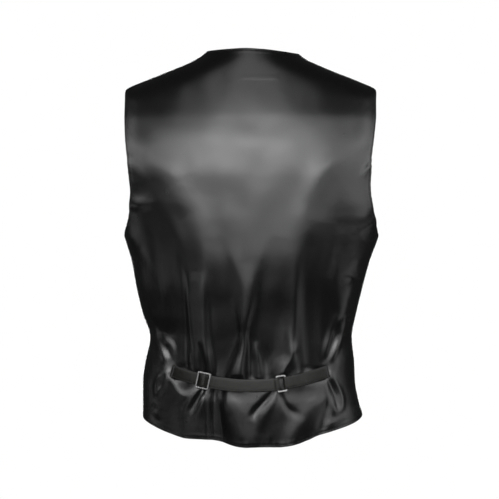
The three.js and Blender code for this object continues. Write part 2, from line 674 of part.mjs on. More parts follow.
function makeFront(name, onRight) {
  const placeOf = (share, row) => frontPlace(onRight, share, row);
  const top = onRight ? RIGHT_NECK_HEIGHT : LEFT_NECK_HEIGHT;
  return namedMesh(name, clothWall(placeOf, FRONT_COLUMNS, top, FRONT_THICKNESS), suiting);
}

// The strap with its two metal fittings
function makeAdjuster() {
  const adjuster = new THREE.Group();
  adjuster.add(
    namedMesh('strap_long', strapGeometry(longStrapRoute()), strapSatin),
    namedMesh('strap_short', strapGeometry(shortStrapRoute()), strapSatin),
    placeOnStrap(namedMesh('slider', frameGeometry(SLIDER_LENGTH, 3), nickel), SLIDER_CENTRE, SLIDER_OUT),
    placeOnStrap(namedMesh('ring', frameGeometry(RING_LENGTH, 2), nickel), RING_CENTRE, RING_OUT),
  );
  return adjuster;
}

// Buttons down the centre front, each lying flat on the left front
function makeButtons() {
  const buttons = new THREE.Group();
  for (let i = 0; i < BUTTON_COUNT; i += 1) {
    const height = TOP_BUTTON_HEIGHT - i * BUTTON_SPACING;
    const out = formNormal(Math.PI, height);
    const button = namedMesh(`button_${i + 1}`, buttonGeometry(), horn);
    button.position.copy(clothPoint(Math.PI, height).addScaledVector(out, BUTTON_LIFT));
    button.quaternion.setFromUnitVectors(new THREE.Vector3(0, 0, 1), out);
    buttons.add(button);
  }
  return buttons;
}

const waistcoat = new THREE.Group();
waistcoat.add(makeBack(), makeFront('front_left', false), makeFront('front_right', true));
waistcoat.add(makeAdjuster(), makeButtons());

export default waistcoat;
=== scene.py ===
"""Looks for a suit waistcoat in its worn form: satin back with an adjusting strap, suiting fronts.

The cloth follows the same form as the solids, written here in millimetres and built in metres.
As it is worn, +X is the right, -Y the back and +Z up. Shares of girth run from left to right.
"""

import math

import bpy
import numpy as np
from mathutils import Matrix, Vector


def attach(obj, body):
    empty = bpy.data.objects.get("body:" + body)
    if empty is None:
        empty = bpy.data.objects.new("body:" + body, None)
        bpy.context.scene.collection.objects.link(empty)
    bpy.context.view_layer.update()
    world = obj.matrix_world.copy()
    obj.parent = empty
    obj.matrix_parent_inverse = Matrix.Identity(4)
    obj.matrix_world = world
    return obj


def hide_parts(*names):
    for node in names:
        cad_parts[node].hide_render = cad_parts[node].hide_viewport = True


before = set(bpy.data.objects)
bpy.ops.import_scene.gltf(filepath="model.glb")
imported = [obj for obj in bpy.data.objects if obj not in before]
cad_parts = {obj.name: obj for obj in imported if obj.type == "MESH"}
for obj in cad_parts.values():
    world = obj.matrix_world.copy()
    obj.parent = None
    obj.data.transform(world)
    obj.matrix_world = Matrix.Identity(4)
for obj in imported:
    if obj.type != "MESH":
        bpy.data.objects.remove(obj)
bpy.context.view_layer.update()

MM = 0.001

# Heights of the main points, below the left neck point
LEFT_NECK = 0
RIGHT_NECK = -3
SHOULDER_TIP = -58
UNDERARM = -283
SIDE_HEM = -553

# Worn form: height, half width on the left, half width on the right
WIDTHS = [
    (12, 60, 60),
    (0, 67, 70),
    (-6, 74, 77),
    (-14, 87, 89),
    (-44, 160, 162),
    (-58, 190, 191),
    (-75, 193, 193),
    (-105, 198, 197),
    (-150, 204, 200),
    (-196, 208.5, 206.5),
    (-227, 207, 208),
    (-250, 200, 203.5),
    (-266, 195, 198),
    (-283, 191, 194),
    (-322, 180, 180.5),
    (-361, 173, 170),
    (-398, 164, 161),
    (-435, 153, 154.5),
    (-471, 160, 158),
    (-502, 164, 159.5),
    (-532, 164, 165),
    (-555, 164, 171),
    (-640, 168, 175),
]

# Worn form: height, depth behind the seams, depth before them, and the power of each half's ring
DEPTHS = [
    (12, 60, 42, 2.0, 2.0),
    (0, 68, 50, 2.0, 2.0),
    (-29, 83, 65, 2.0, 2.0),
    (-58, 95, 80, 1.9, 1.9),
    (-80, 102, 89, 2.05, 1.95),
    (-105, 109, 98, 2.25, 2.0),
    (-150, 117, 111, 2.5, 2.05),
    (-196, 120.5, 119.5, 2.6, 2.05),
    (-250, 121, 122, 2.6, 2.1),
    (-300, 120, 118.3, 2.5, 2.1),
    (-345, 116.5, 113.6, 2.4, 2.1),
    (-398, 107.5, 108, 2.25, 2.1),
    (-440, 99.8, 104.7, 2.2, 2.1),
    (-475, 94, 104.5, 2.2, 2.1),
    (-492, 93, 105, 2.2, 2.1),
    (-512, 93, 105.5, 2.2, 2.1),
    (-530, 94.6, 106.7, 2.2, 2.1),
    (-560, 93, 109, 2.2, 2.1),
    (-595, 89.5, 111.5, 2.2, 2.1),
    (-640, 84, 116, 2.2, 2.1),
]

# Back hem and back neckline: girth angle in degrees from the centre back, and height
BACK_HEM = [
    (-90, -553), (-76, -563), (-62, -575), (-52, -582), (-40, -583.5), (-30, -587.5), (-18, -592.5),
    (-4, -595), (23, -595), (38, -591), (56, -576), (73, -563), (90, -549.5),
]
BACK_NECKLINE = [(-90, 0), (-50, -1.2), (-10, -0.8), (15, -1.8), (38, -4), (60, -5), (90, -3)]
HEM_FADE_POWER = 1.5
HEM_TUCK = 7
HEM_TUCK_LENGTH = 90

# Armholes: how far the edge is cut away behind and before the shoulder seam
ARMHOLE_BACK_REACH = 78
ARMHOLE_FRONT_REACH = 84
ARMHOLE_LOW_SKEW = 0.6
ARMHOLE_FULLNESS = 0.8
ROW_BEND = 2.5

# Front edges, measured across from the centre front
LAP = 15
V_HEIGHT = -290
V_TOP_INSET = 4
V_BOW = 0.9
CUTAWAY_HEIGHT = -517
POINT_HEIGHT = -602
POINT_ACROSS = 54
CUTAWAY_BOW = 1.35
FRONT_HEM_TOP = -400
FRONT_HEM_BOW = 1.25
LAP_STEP = 2.7
LAP_STEP_START = 22
LAP_STEP_END = 62

# Cloth
BACK_THICKNESS = 1.1
FRONT_THICKNESS = 1.8
SEAM_DIP = 0.6
SEAM_WIDTH = 2.6
TURNED_WIDTH = 7.5
TURNED_RISE = 0.25
STITCH_LINE = 2.6
STITCH_GROOVE = 0.22
SIDE_FADE = 0.42
SHOULDER_SOFT_SPAN = 24
SHOULDER_SOFT_ROUNDS = 70
DRAPE_HEIGHT = 0.07
DRAPE_WAVES = 14
DRAPE_LENGTHS = (22, 70)
DRAPE_MIDDLE_LENGTH = 60

# Grids of the panels: width, columns, and rows under the underarm, beside the armhole and on the shoulder
BACK_GRID = (400, 176, 98, 78, 18)
FRONT_GRID = (200, 84, 84, 64, 16)
EDGE_STEPS = [0, 0.5, 1.1, 1.7, 2.3, 2.9, 3.5, 4.3, 5.4, 6.8]
EDGE_LINE = EDGE_STEPS.index(2.9)

# Gathers along an edge: where they start and end, and their depth
LEFT_GATHERS = [(300, 395, 0.5), (405, 470, 0.8)]
RIGHT_GATHERS = [(300, 395, 0.6), (395, 475, 0.9)]
HEM_GATHERS = [(60, 160, 0.25), (175, 330, 0.9)]
FRONT_GATHERS = [(300, 460, 0.4)]

# Adjusting strap, in its own coordinates: along it, out from the cloth, and across its width
STRAP_WIDTH = 19
STRAP_THICKNESS = 0.9
STRAP_LOW_HEIGHT = -502.5
STRAP_RISE = 22
STRAP_HALF_SPAN = 120
STRAP_PRESS_INNER = 9.6
STRAP_PRESS_OUTER = 15
PRESSED_HEIGHT = 0.15
LOW_LAYER = 0.95
HIGH_LAYER = 2.3
END_LAYER = 0.85
LEFT_END = -124
RIGHT_END = 122
END_STITCH_INSET = 3
END_STITCH_OUT = 1.42
END_STITCH_HALF_LENGTH = 1.6
END_STITCH_REACH = 8.6
END_STITCH_SPACING = 0.62

# Slider and ring
BAR = 2.4
HARDWARE_DEPTH = 1.1
RAIL = 2.2
CORNER = 2.2
BEVEL = 0.5
SLOT_HEIGHT = 20.4
SLIDER_CENTRE = -71
SLIDER_LENGTH = 20.6
SLIDER_OUT = 3.15
RING_CENTRE = 45.5
RING_LENGTH = 15
RING_OUT = 1.75

# Turns of the strap: steps along it from the middle of the slider or the ring, and heights over the cloth
SLIDER_CROSSING = [
    (-26, LOW_LAYER), (-14, LOW_LAYER), (-9, 1.1), (-6.6, 2), (-4.5, 4.6), (-2.5, 6.2), (0, 6.7), (2.5, 6.2),
    (4.8, 4.2), (6.8, 2.7), (9.5, HIGH_LAYER), (24, HIGH_LAYER),
]
SLIDER_TURN = [
    (30, LOW_LAYER), (12, LOW_LAYER), (5, LOW_LAYER), (2.2, 1.4), (-0.6, 2.1), (-2.4, 3), (-2.6, 4.4),
    (-1.1, 5.25), (1.1, 5.25), (2.3, 4.5), (2.4, 3.5),
]
RING_TURN = [(12, 2.7), (8.8, 3.7), (6.4, 4.1), (4.5, 3.6), (3.7, 2.4), (4.5, 1.2), (6.4, LOW_LAYER)]

# Buttons and buttonholes
BUTTON_COUNT = 5
TOP_BUTTON = -303
BUTTON_SPACING = 51
BUTTON_RADIUS = 7.5
BUTTON_THICKNESS = 2.8
BUTTON_LIFT = 0.3
HOLE_RADIUS = 0.9
HOLE_OFFSET = 1.7
BUTTONHOLE_START = 2
BUTTONHOLE_END = -17

# Thread
STITCH_LENGTH = 2.3
STITCH_PITCH = 3.1
THREAD_RADIUS = 0.17

# Camera, in metres: how far behind, across and below the origin. Floor and even light
CAMERA_DISTANCE = 3.0
CAMERA_ACROSS = -0.001525
CAMERA_HEIGHT = -0.301
CAMERA_SENSOR = 36
CAMERA_LENS = 141.9
FLOOR_HALF_SIZE = 3500
FLOOR_LEVEL = -1350
EVEN_LIGHT = 0.03


def fold(*path, lean=0.0, power=2):
    """A fold of the cloth, from its path of (x, z, half width, height): a ridge is over 0, a trough under 0.

    A lean makes it steeper on one side, and a high power makes it flat with steep sides.
    """
    return path, lean, power


# Folds of the back
BACK_FOLDS = [
    # The taut V between the armholes and the small of the back
    fold((-184, -134, 18, 0), (-150, -158, 23, 1.4), (-112, -202, 21, 2.6), (-88, -250, 18, 0)),
    fold((-108, -205, 18, 0), (-78, -270, 20, 1.8), (-52, -340, 18, 1.0), (-36, -380, 14, 0)),
    fold((186, -126, 18, 0), (146, -156, 21, 1.4), (112, -187, 20, 2.3), (84, -235, 18, 0)),
    fold((98, -190, 18, 0), (76, -255, 20, 1.8), (52, -325, 18, 1.0), (34, -375, 14, 0)),
    fold((-160, -200, 12, 0), (-145, -245, 15, -1.8), (-130, -288, 15, -2.4), (-120, -335, 12, 0)),
    fold((136, -215, 12, 0), (130, -260, 16, -2.6), (124, -302, 15, -2.6), (116, -345, 12, 0)),
    # Beside the left armhole
    fold((-180, -166, 8, 0), (-168, -184, 9, 0.7), (-156, -202, 8, 0), lean=0.2),
    fold((-184, -204, 8, 0), (-170, -218, 9, -0.7), (-154, -236, 8, 0)),
    fold((-184, -232, 8, 0), (-166, -236, 9, 1.6), (-142, -230, 9, 0), lean=0.3),
    fold((-192, -264, 8, 1.2), (-182, -283, 9, 2.4), (-166, -302, 8, 0), lean=0.2),
    fold((-172, -292, 9, 0), (-150, -318, 11, 1.6), (-140, -350, 9, 0)),
    # Beside the right armhole
    fold((180, -168, 4, 0), (170, -184, 4.5, 1.4), (158, -200, 4, 0), lean=0.3),
    fold((182, -232, 9, 0), (170, -255, 11, 1.6), (157, -284, 9, 0)),
    fold((192, -250, 7, 1.2), (180, -262, 8, 2.2), (160, -275, 8, 0), lean=0.3),
    fold((172, -290, 9, 0), (156, -318, 10, 1.6), (150, -340, 8, 0)),
    # The sunk cloth between the ridges above the strap, from left to right
    fold(
        (-130, -262, 13, 0), (-123, -300, 17, -2.2), (-116, -335, 17, -5.2), (-112, -370, 16, -7.6),
        (-110, -426, 16, -8.4), (-109, -448, 16, -9), (-109, -466, 16, -9.8), (-107, -480, 16, -10),
        (-105, -494, 14, -3), (-103, -510, 12, -1), power=4,
    ),
    fold(
        (-52, -282, 13, 0), (-48, -318, 19, -1.8), (-44, -352, 22, -5), (-42, -395, 23, -7.2),
        (-38, -426, 24, -8), (-39, -448, 22, -8.8), (-41, -464, 18, -9.6), (-44, -480, 14, -10),
        (-47, -494, 12, -10), (-49, -512, 11, -9.6), (-51, -530, 11, -8), (-52, -560, 12, -5),
        (-52, -590, 12, -3), power=4,
    ),
    fold(
        (46, -282, 15, 0), (39, -320, 23, -1.8), (34, -356, 28, -5), (31, -395, 29, -7.2),
        (24, -426, 31, -8), (20, -448, 29, -8.8), (16, -466, 25, -9.6), (14, -482, 23, -10),
        (13, -495, 22, -10), (13, -509, 22, -2), (12, -526, 24, -1.5), (12, -555, 26, -1), power=4,
    ),
    fold(
        (110, -262, 16, 0), (103, -300, 22, -2.2), (98, -338, 25, -5.2), (96, -380, 26, -7.4),
        (97, -430, 25, -8.2), (98, -460, 24, -9.2), (98, -474, 23, -10), (97, -482, 22, -10),
        (96, -498, 20, -2.5), (92, -514, 18, -1), (88, -530, 18, 0), power=4,
    ),
    # The ridges above the strap, from left to right
    fold(
        (-143, -415, 4, 0), (-139, -432, 6, 3), (-132, -452, 4, 3.2), (-128, -464, 3.5, 1.6),
        (-125, -474, 3, 0),
    ),
    fold((-134, -425, 4, 0), (-122, -444, 4, 2.6), (-120, -455, 3.5, 2.6), (-121, -468, 3, 0)),
    fold((-128, -440, 3, 0), (-126, -452, 4.2, -3), (-124, -464, 3, 0)),
    fold(
        (-81, -332, 14, 0), (-79, -375, 15, 2.8), (-76, -430, 14, 4.6), (-72, -465, 12, 5.4),
        (-70, -486, 11, 4.5), power=4,
    ),
    fold(
        (-74, -436, 3, 0), (-72, -455, 4.5, -4.5), (-69.5, -478, 7, -7.5), (-68, -494, 7, -8.5),
        (-67, -512, 5, -4),
    ),
    fold(
        (2, -322, 15, 0), (-5, -375, 13, 2.2), (-9, -410, 8, 3.6), (-10.5, -426, 5.5, 4.2),
        (-12, -448, 7.5, 5), (-17, -474, 12, 6), (-20, -490, 14, 5.4), power=3,
    ),
    fold((8, -438, 4, 0), (9, -455, 5, 3), (11, -468, 6, 4), (13, -490, 8, 4)),
    fold(
        (55, -415, 5, 0), (60, -438, 6, 1.4), (62, -452, 7, 3.8), (59, -463, 7, 4), (52, -474, 7, 3.8),
        (45, -488, 6, 3),
    ),
    fold(
        (152, -343, 8, 0), (148, -352, 10, 2.4), (142, -370, 11, 3), (136, -395, 9, 3),
        (130, -412, 7, 1.2),
    ),
    fold((128, -402, 4, 1.2), (121, -429, 4, 3), (116, -450, 3.5, 2.4), (115, -466, 3, 0)),
    fold((142, -402, 4.5, 1.2), (136, -429, 4.5, 3.2), (127, -451, 4, 3), (119, -470, 3, 0.5)),
    fold((130, -408, 3, 0), (127, -430, 4.5, -2.6), (122, -452, 3.5, -2.2), (117, -468, 2.6, 0)),
    # Below the strap, from left to right
    fold(
        (-131, -486, 3, 0.8), (-138, -497, 4, 2.8), (-142, -509, 4.5, 3), (-141, -523, 4.5, 1.6),
        (-139, -532, 4, 0),
    ),
    fold((-124, -488, 3, 0.8), (-130, -502, 3.5, 2.6), (-137, -514, 4, 2), (-141, -521, 4, 0)),
    fold((-128, -490, 2.5, -1), (-134, -502, 3, -2.6), (-138, -511, 2.5, -0.5)),
    fold((-119, -490, 4, 1), (-110, -512, 5, 2.2), (-98, -518, 5, 2.2), (-84, -508, 4, 0.8)),
    fold((-146, -530, 7, 0), (-142, -543, 8, 1.8), (-136, -556, 6, 0)),
    fold(
        (-74, -506, 3, 1.5), (-84, -516, 4.5, 3.2), (-92, -528, 6, 3.4), (-97, -543, 7.5, 3.2),
        (-95, -580, 9, 1.5),
    ),
    fold(
        (-66, -507, 2.5, 1.5), (-70, -520, 4, 3), (-74, -534, 5.5, 2.8), (-80, -550, 8, 2.4),
        (-83, -575, 9, 1.6),
    ),
    fold((-71, -507, 2.5, -1.5), (-77, -519, 3.2, -3), (-84, -531, 3.4, -2.4), (-88, -545, 3, 0)),
    fold(
        (-60, -505, 5, -1), (-58, -525, 9, -3), (-53, -550, 13, -5.5), (-49, -575, 16, -7.5),
        (-47, -592, 17, -8.5), power=3,
    ),
    fold((-45, -508, 5, 0.4), (-29, -531, 11, 0.8), (-15, -548, 16, 1.8), (-7, -588, 18, 4), power=3),
    fold((34, -511, 3, -1.5), (20, -527, 5, -4), (7, -542, 5, -3), (0, -553, 5, 0)),
    fold((39, -513, 3, 0.8), (29, -532, 6, 1.4), (18, -552, 8, 1.6), (10, -575, 9, 0.8)),
    fold(
        (42, -510, 2.5, -1.5), (47, -522, 4, -3), (56, -537, 5, -2.4), (72, -547, 6, -1),
        (84, -552, 6, 0),
    ),
    fold(
        (111, -496, 4, 0.5), (100, -525, 9, 1.2), (83, -547, 13, 2), (68, -572, 15, 3.4),
        (60, -592, 15, 4),
    ),
    fold((116, -503, 3, -0.8), (117, -525, 5, -2.6), (112, -550, 8, -3.2), (103, -580, 9, -3)),
    fold((115, -489, 3, -1), (122, -503, 4, -3.6), (132, -526, 4.5, -3), (136, -540, 4, 0)),
    fold((114, -499, 2.6, 0.8), (118, -522, 3.5, 2.6), (126, -540, 4.5, 2.2), (132, -552, 4, 0)),
    fold((123, -492, 2.6, 0.8), (135, -516, 4, 2.8), (138, -533, 4.5, 2.4), (134, -546, 4, 0)),
    fold((108, -565, 6, 0), (124, -560, 6, 1.6), (140, -552, 6, 0)),
    # The pressed ridge under the neckline
    fold((-16, -46, 1.6, 0), (-8, -45.5, 1.8, 0.5), (34, -46, 1.8, 0.5), (42, -46.5, 1.6, 0)),
]

# Folds of the fronts, in the same coordinates
FRONT_FOLDS = [
    fold((-172, -236, 9, 0), (-148, -262, 13, 2.6), (-120, -286, 13, 2.4), (-92, -302, 9, 0)),
    fold((174, -240, 9, 0), (150, -260, 13, 2.4), (124, -280, 12, 2.2), (98, -292, 9, 0)),
    fold((-164, -300, 7, 0), (-150, -330, 9, -1.8), (-140, -368, 8, 0)),
    fold((162, -296, 7, 0), (150, -322, 9, -1.6), (138, -352, 7, 0)),
    fold((-148, -396, 8, 0), (-118, -416, 12, 2.8), (-88, -436, 12, 2.2), (-54, -448, 9, 0), lean=0.1),
    fold((148, -408, 8, 0), (120, -424, 12, 2.6), (88, -436, 11, 1.8), (48, -442, 8, 0), lean=0.1),
    fold((-142, -462, 8, 0), (-108, -478, 10, -2.4), (-74, -490, 10, -1.6), (-40, -494, 8, 0)),
    fold((140, -456, 8, 0), (108, -470, 10, -2.2), (80, -482, 10, -1.4), (54, -488, 8, 0)),
    fold((-66, -338, 7, 0), (-40, -346, 8, 1.3), (-14, -352, 6, 0)),
    fold((70, -386, 7, 0), (42, -396, 8, 1.2), (22, -402, 6, 0)),
    fold((-102, -500, 9, 0), (-108, -540, 13, 2.8), (-114, -585, 14, 3.2)),
    fold((94, -496, 9, 0), (102, -538, 13, 2.6), (110, -583, 14, 3)),
    fold((-60, -520, 8, 0), (-64, -555, 11, -1.6), (-70, -595, 12, -1.6)),
    fold((62, -524, 8, 0), (66, -558, 11, -1.5), (72, -595, 12, -1.5)),
]


def lerp(start, end, share):
    return start + (end - start) * share


def smoothstep(value, low, high):
    t = np.clip((value - low) / (high - low), 0, 1)
    return t * t * (3 - 2 * t)


def smooth_table(rows, column):
    """A smooth curve through one column of a table, against its first column, that never overshoots."""
    rows = sorted(rows)
    at = np.array([row[0] for row in rows], float)
    value = np.array([row[column] for row in rows], float)
    span = np.diff(at)
    chord = np.diff(value) / span
    product = chord[:-1] * chord[1:]
    total = np.where(product > 0, chord[:-1] + chord[1:], 1)
    slope = np.concatenate(([chord[0]], np.where(product > 0, 2 * product / total, 0), [chord[-1]]))

    def read(position):
        p = np.clip(position, at[0], at[-1])
        i = np.clip(np.searchsorted(at, p, side="right") - 1, 0, len(span) - 1)
        t = (p - at[i]) / span[i]
        rise = value[i + 1] - value[i]
        start = span[i] * slope[i]
        end = span[i] * slope[i + 1]
        return value[i] + t * (start + t * (3 * rise - 2 * start - end + t * (start + end - 2 * rise)))

    return read


LEFT_WIDTH = smooth_table(WIDTHS, 1)
RIGHT_WIDTH = smooth_table(WIDTHS, 2)
BACK_DEPTH = smooth_table(DEPTHS, 1)
FRONT_DEPTH = smooth_table(DEPTHS, 2)
BACK_POWER = smooth_table(DEPTHS, 3)
FRONT_POWER = smooth_table(DEPTHS, 4)
BACK_HEM_HEIGHT = smooth_table(BACK_HEM, 1)
BACK_NECK_HEIGHT = smooth_table(BACK_NECKLINE, 1)


def ring_sizes(height, on_right, on_back):
    """Half width, depth and power of the form's ring at a height."""
    width = np.where(on_right, RIGHT_WIDTH(height), LEFT_WIDTH(height))
    depth = np.where(on_back, BACK_DEPTH(height), FRONT_DEPTH(height))
    power = np.where(on_back, BACK_POWER(height), FRONT_POWER(height))
    return width, depth, power


def form_point(angle, height):
    """The form's point at a girth angle from the centre back, towards the right."""
    angle, height = np.broadcast_arrays(np.asarray(angle, float), np.asarray(height, float))
    sine, cosine = np.sin(angle), np.cos(angle)
    width, depth, power = ring_sizes(height, sine > 0, cosine > 0)
    radius = ((abs(sine) / width) ** power + (abs(cosine) / depth) ** power) ** (-1 / power)
    return np.stack([radius * sine, -radius * cosine, height], axis=-1)


def unit(vectors):
    return vectors / np.linalg.norm(vectors, axis=-1, keepdims=True)


def form_normal(angle, height):
    """The outward direction of the form."""
    around = form_point(angle + 0.002, height) - form_point(angle - 0.002, height)
    up = form_point(angle, height + 1) - form_point(angle, height - 1)
    return unit(np.cross(around, up))


def ring_coordinate(known, known_size, wanted_size, power):
    """One coordinate of a ring from the other."""
    return wanted_size * (1 - np.clip(abs(known) / known_size, 0, 1) ** power) ** (1 / power)


def strap_height(x):
    """How low the adjusting strap hangs at a distance across the back."""
    return STRAP_LOW_HEIGHT + STRAP_RISE * (x / STRAP_HALF_SPAN) ** 2


def catmull_rom(points, steps):
    """A smooth line through rows of numbers, with a number of steps between each two."""
    points = np.asarray(points, float)
    padded = np.concatenate((points[:1], points, points[-1:]))
    t = (np.arange(steps) / steps)[None, :, None]
    before, start, end, after = (padded[i : i + len(points) - 1, None] for i in range(4))
    leave = (end - before) / 2
    arrive = (after - start) / 2
    rise = end - start
    curve = start + t * (leave + t * (3 * rise - 2 * leave - arrive + t * (leave + arrive - 2 * rise)))
    return np.concatenate((curve.reshape(-1, points.shape[1]), points[-1:]))


def fold_height(crease, x, z):
    """The height of one fold over a grid of points."""
    path, lean, power = crease
    line = catmull_rom(path, 6)
    reach = 3 * line[:, 2].max() * (1 + abs(lean))
    low, high = line[:, :2].min(0) - reach, line[:, :2].max(0) + reach
    near = (x > low[0]) & (x < high[0]) & (z > low[1]) & (z < high[1])
    total = np.zeros(x.shape)
    point = np.stack([x[near], z[near]], axis=-1)[:, None]
    start, run = line[:-1, :2], np.diff(line[:, :2], axis=0)
    share = np.clip(((point - start) * run).sum(-1) / (run**2).sum(-1), 0, 1)
    miss = point - start - share[..., None] * run
    distance = np.linalg.norm(miss, axis=-1)
    best = distance.argmin(1)
    row = np.arange(len(best))
    share, distance = share[row, best], distance[row, best]
    side = np.sign(run[best, 0] * miss[row, best, 1] - run[best, 1] * miss[row, best, 0])
    width = lerp(line[best, 2], line[best + 1, 2], share) * (1 + lean * side)
    height = lerp(line[best, 3], line[best + 1, 3], share)
    total[near] = height * np.exp(-((distance / width) ** power))
    return total


def folds_at(point, angle):
    """All folds over a grid. They fade at the side seams, the strap holds them down and the hem tucks in."""
    x, z = point[..., 0], point[..., 2]
    on_back = np.cos(angle) > 0
    back = sum(fold_height(crease, x, z) for crease in BACK_FOLDS) if on_back.any() else 0
    front = sum(fold_height(crease, x, z) for crease in FRONT_FOLDS) if not on_back.all() else 0
    height = np.where(on_back, back, front) * smoothstep(abs(np.cos(angle)), 0, SIDE_FADE)
    hang = z - strap_height(x)
    tuck = HEM_TUCK * np.clip(-hang / HEM_TUCK_LENGTH, 0, 1) * abs(np.cos(angle))
    height = height - np.where(on_back, tuck, 0)
    pressed = np.minimum(height, PRESSED_HEIGHT)
    held = lerp(pressed, height, smoothstep(abs(hang), STRAP_PRESS_INNER, STRAP_PRESS_OUTER))
    return np.where(on_back, held, height)


def armhole_share(height):
    rise = np.clip((height - UNDERARM) / (SHOULDER_TIP - UNDERARM), 0, 1)
    return np.clip(np.sin(np.pi * rise**ARMHOLE_LOW_SKEW), 0, 1) ** ARMHOLE_FULLNESS


def outer_edge_angle(level, on_right, on_back):
    """The girth angle of a panel's side seam, armhole or shoulder seam."""
    width, depth, power = ring_sizes(level, on_right, on_back)
    away = armhole_share(level) * (ARMHOLE_BACK_REACH if on_back else ARMHOLE_FRONT_REACH)
    across = ring_coordinate(away, depth, width, power)
    from_side = np.arctan2(away, across)
    angle = math.pi / 2 + (-from_side if on_back else from_side)
    return angle if on_right else -angle


def panel_rows(place, top):
    """Heights of rows inside a panel and at its edge. Place: 0 hem, 1 underarm, 2 shoulder tip, 3 neck."""
    eased = (1 - np.cos(np.pi * (place - 1))) / 2
    low = lerp(SIDE_HEM, UNDERARM, place)
    high = lerp(SHOULDER_TIP, top, place - 2)
    inside = np.where(place <= 1, low, np.where(place <= 2, lerp(UNDERARM, SHOULDER_TIP, place - 1), high))
    edge = np.where(place <= 1, low, np.where(place <= 2, lerp(UNDERARM, SHOULDER_TIP, eased), high))
    return inside, edge


def hem_fade(height, start):
    return np.clip((start - height) / (start - SIDE_HEM), 0, 1) ** HEM_FADE_POWER


def back_place(share, place):
    """Girth angle, height and step of the back's points."""
    inside, edge = panel_rows(place, LEFT_NECK)
    angle = lerp(outer_edge_angle(edge, False, True), outer_edge_angle(edge, True, True), share)
    degrees = np.degrees(angle)
    bend = abs(2 * share - 1) ** ROW_BEND
    high_fade = np.clip((edge - SHOULDER_TIP) / -SHOULDER_TIP, 0, 1) ** HEM_FADE_POWER
    hem_drop = (BACK_HEM_HEIGHT(degrees) - SIDE_HEM) * hem_fade(edge, UNDERARM)
    neck_drop = BACK_NECK_HEIGHT(degrees) * high_fade
    height = lerp(inside, edge, bend) + hem_drop + neck_drop
    return angle, height, np.zeros_like(height)


def front_edge_across(height, on_right):
    """How far a front reaches from the centre along its V, button edge and cutaway."""
    top = (RIGHT_WIDTH if on_right else LEFT_WIDTH)(LEFT_NECK) - V_TOP_INSET
    rise = np.clip((height - V_HEIGHT) / (LEFT_NECK - V_HEIGHT), 0, None)
    cut = np.clip((CUTAWAY_HEIGHT - height) / (CUTAWAY_HEIGHT - POINT_HEIGHT), 0, 1)
    v_edge = lerp(-LAP, top, rise**V_BOW)
    return np.where(height > V_HEIGHT, v_edge, lerp(-LAP, POINT_ACROSS, cut**CUTAWAY_BOW))


def front_place(on_right, share, place):
    """Girth angle, height and step of a front's points. The right front steps in under the left."""
    inside, edge = panel_rows(place, RIGHT_NECK if on_right else LEFT_NECK)
    from_side = share if on_right else 1 - share
    edge_height = inside + (POINT_HEIGHT - SIDE_HEM) * hem_fade(edge, FRONT_HEM_TOP)
    across = front_edge_across(edge_height, on_right)
    width, depth, power = ring_sizes(edge_height, (across > 0) == on_right, False)
    edge_angle = math.pi - np.arctan2(across, ring_coordinate(across, width, depth, power))
    angle = lerp(outer_edge_angle(edge, on_right, False), edge_angle if on_right else -edge_angle, from_side)
    side_hem = BACK_HEM_HEIGHT(90 if on_right else -90)
    side_rise = (side_hem - SIDE_HEM) * hem_fade(edge, UNDERARM)
    hung = lerp(edge + side_rise, edge_height + edge - inside, from_side**FRONT_HEM_BOW)
    height = hung + (inside - edge) * (1 - (1 - from_side) ** ROW_BEND)
    if not on_right:
        return angle, height, np.zeros_like(height)
    to_own_side = form_point(angle, height)[..., 0]
    return angle, height, -LAP_STEP * (1 - smoothstep(to_own_side, LAP_STEP_START, LAP_STEP_END))


def clustered(count, length, ends):
    """Shares from 0 to 1 in even steps, with the millimetre steps of ends added at both ends."""
    near = np.array(ends) / length
    middle = np.linspace(near[-1], 1 - near[-1], count)[1:-1]
    return np.concatenate((near, middle, 1 - near[::-1]))


def panel_places(lower, armhole, shoulder):
    """The places of a panel's rows, closer together by the hem and the neck."""
    low = np.array(EDGE_STEPS) / (UNDERARM - SIDE_HEM)
    high = 3 - np.array(EDGE_STEPS)[::-1] / -SHOULDER_TIP
    middle = [
        np.linspace(low[-1], 1, lower)[1:-1],
        np.linspace(1, 2, armhole)[:-1],
        np.linspace(2, high[0], shoulder)[:-1],
    ]
    return np.concatenate([low, *middle, high])


def travelled(points, axis):
    """Distance along one axis of a grid of points, from its start."""
    steps = np.linalg.norm(np.diff(points, axis=axis), axis=-1)
    start = np.zeros_like(np.take(steps, [0], axis=axis))
    return np.cumsum(np.concatenate((start, steps), axis=axis), axis=axis)


def along_line(rows, at, places):
    """A line's rows of three numbers at places along it."""
    return np.stack([np.interp(places, at, rows[:, k]) for k in range(3)], axis=-1)


def puckers(along, from_edge, spans, spacing, seed):
    """Small gathers square to an edge, uneven in place, depth and length, over spans of its length."""
    draw = np.random.default_rng(seed)
    total = np.zeros(from_edge.shape)
    for start, end, depth in spans:
        place = start
        while place < end:
            size = depth * draw.uniform(0.35, 1.3) * np.sin(np.pi * (place - start) / (end - start)) ** 0.4
            length = draw.uniform(4, 10)
            width = spacing * draw.uniform(0.2, 0.34)
            total -= size * np.exp(-(((along - place) / width) ** 2) - (from_edge / length) ** 2)
            place += spacing * draw.uniform(0.75, 1.35)
    return total


def edge_finish(from_edge, free):
    """A turned and stitched free edge, or a seam that dips to its stitching."""
    turned = TURNED_RISE * (1 - smoothstep(from_edge, TURNED_WIDTH - 1.5, TURNED_WIDTH + 1))
    groove = STITCH_GROOVE * np.exp(-(((from_edge - STITCH_LINE) / 0.7) ** 2))
    seam = SEAM_DIP * np.exp(-((from_edge / SEAM_WIDTH) ** 2))
    return free * (turned - groove) - (1 - free) * seam


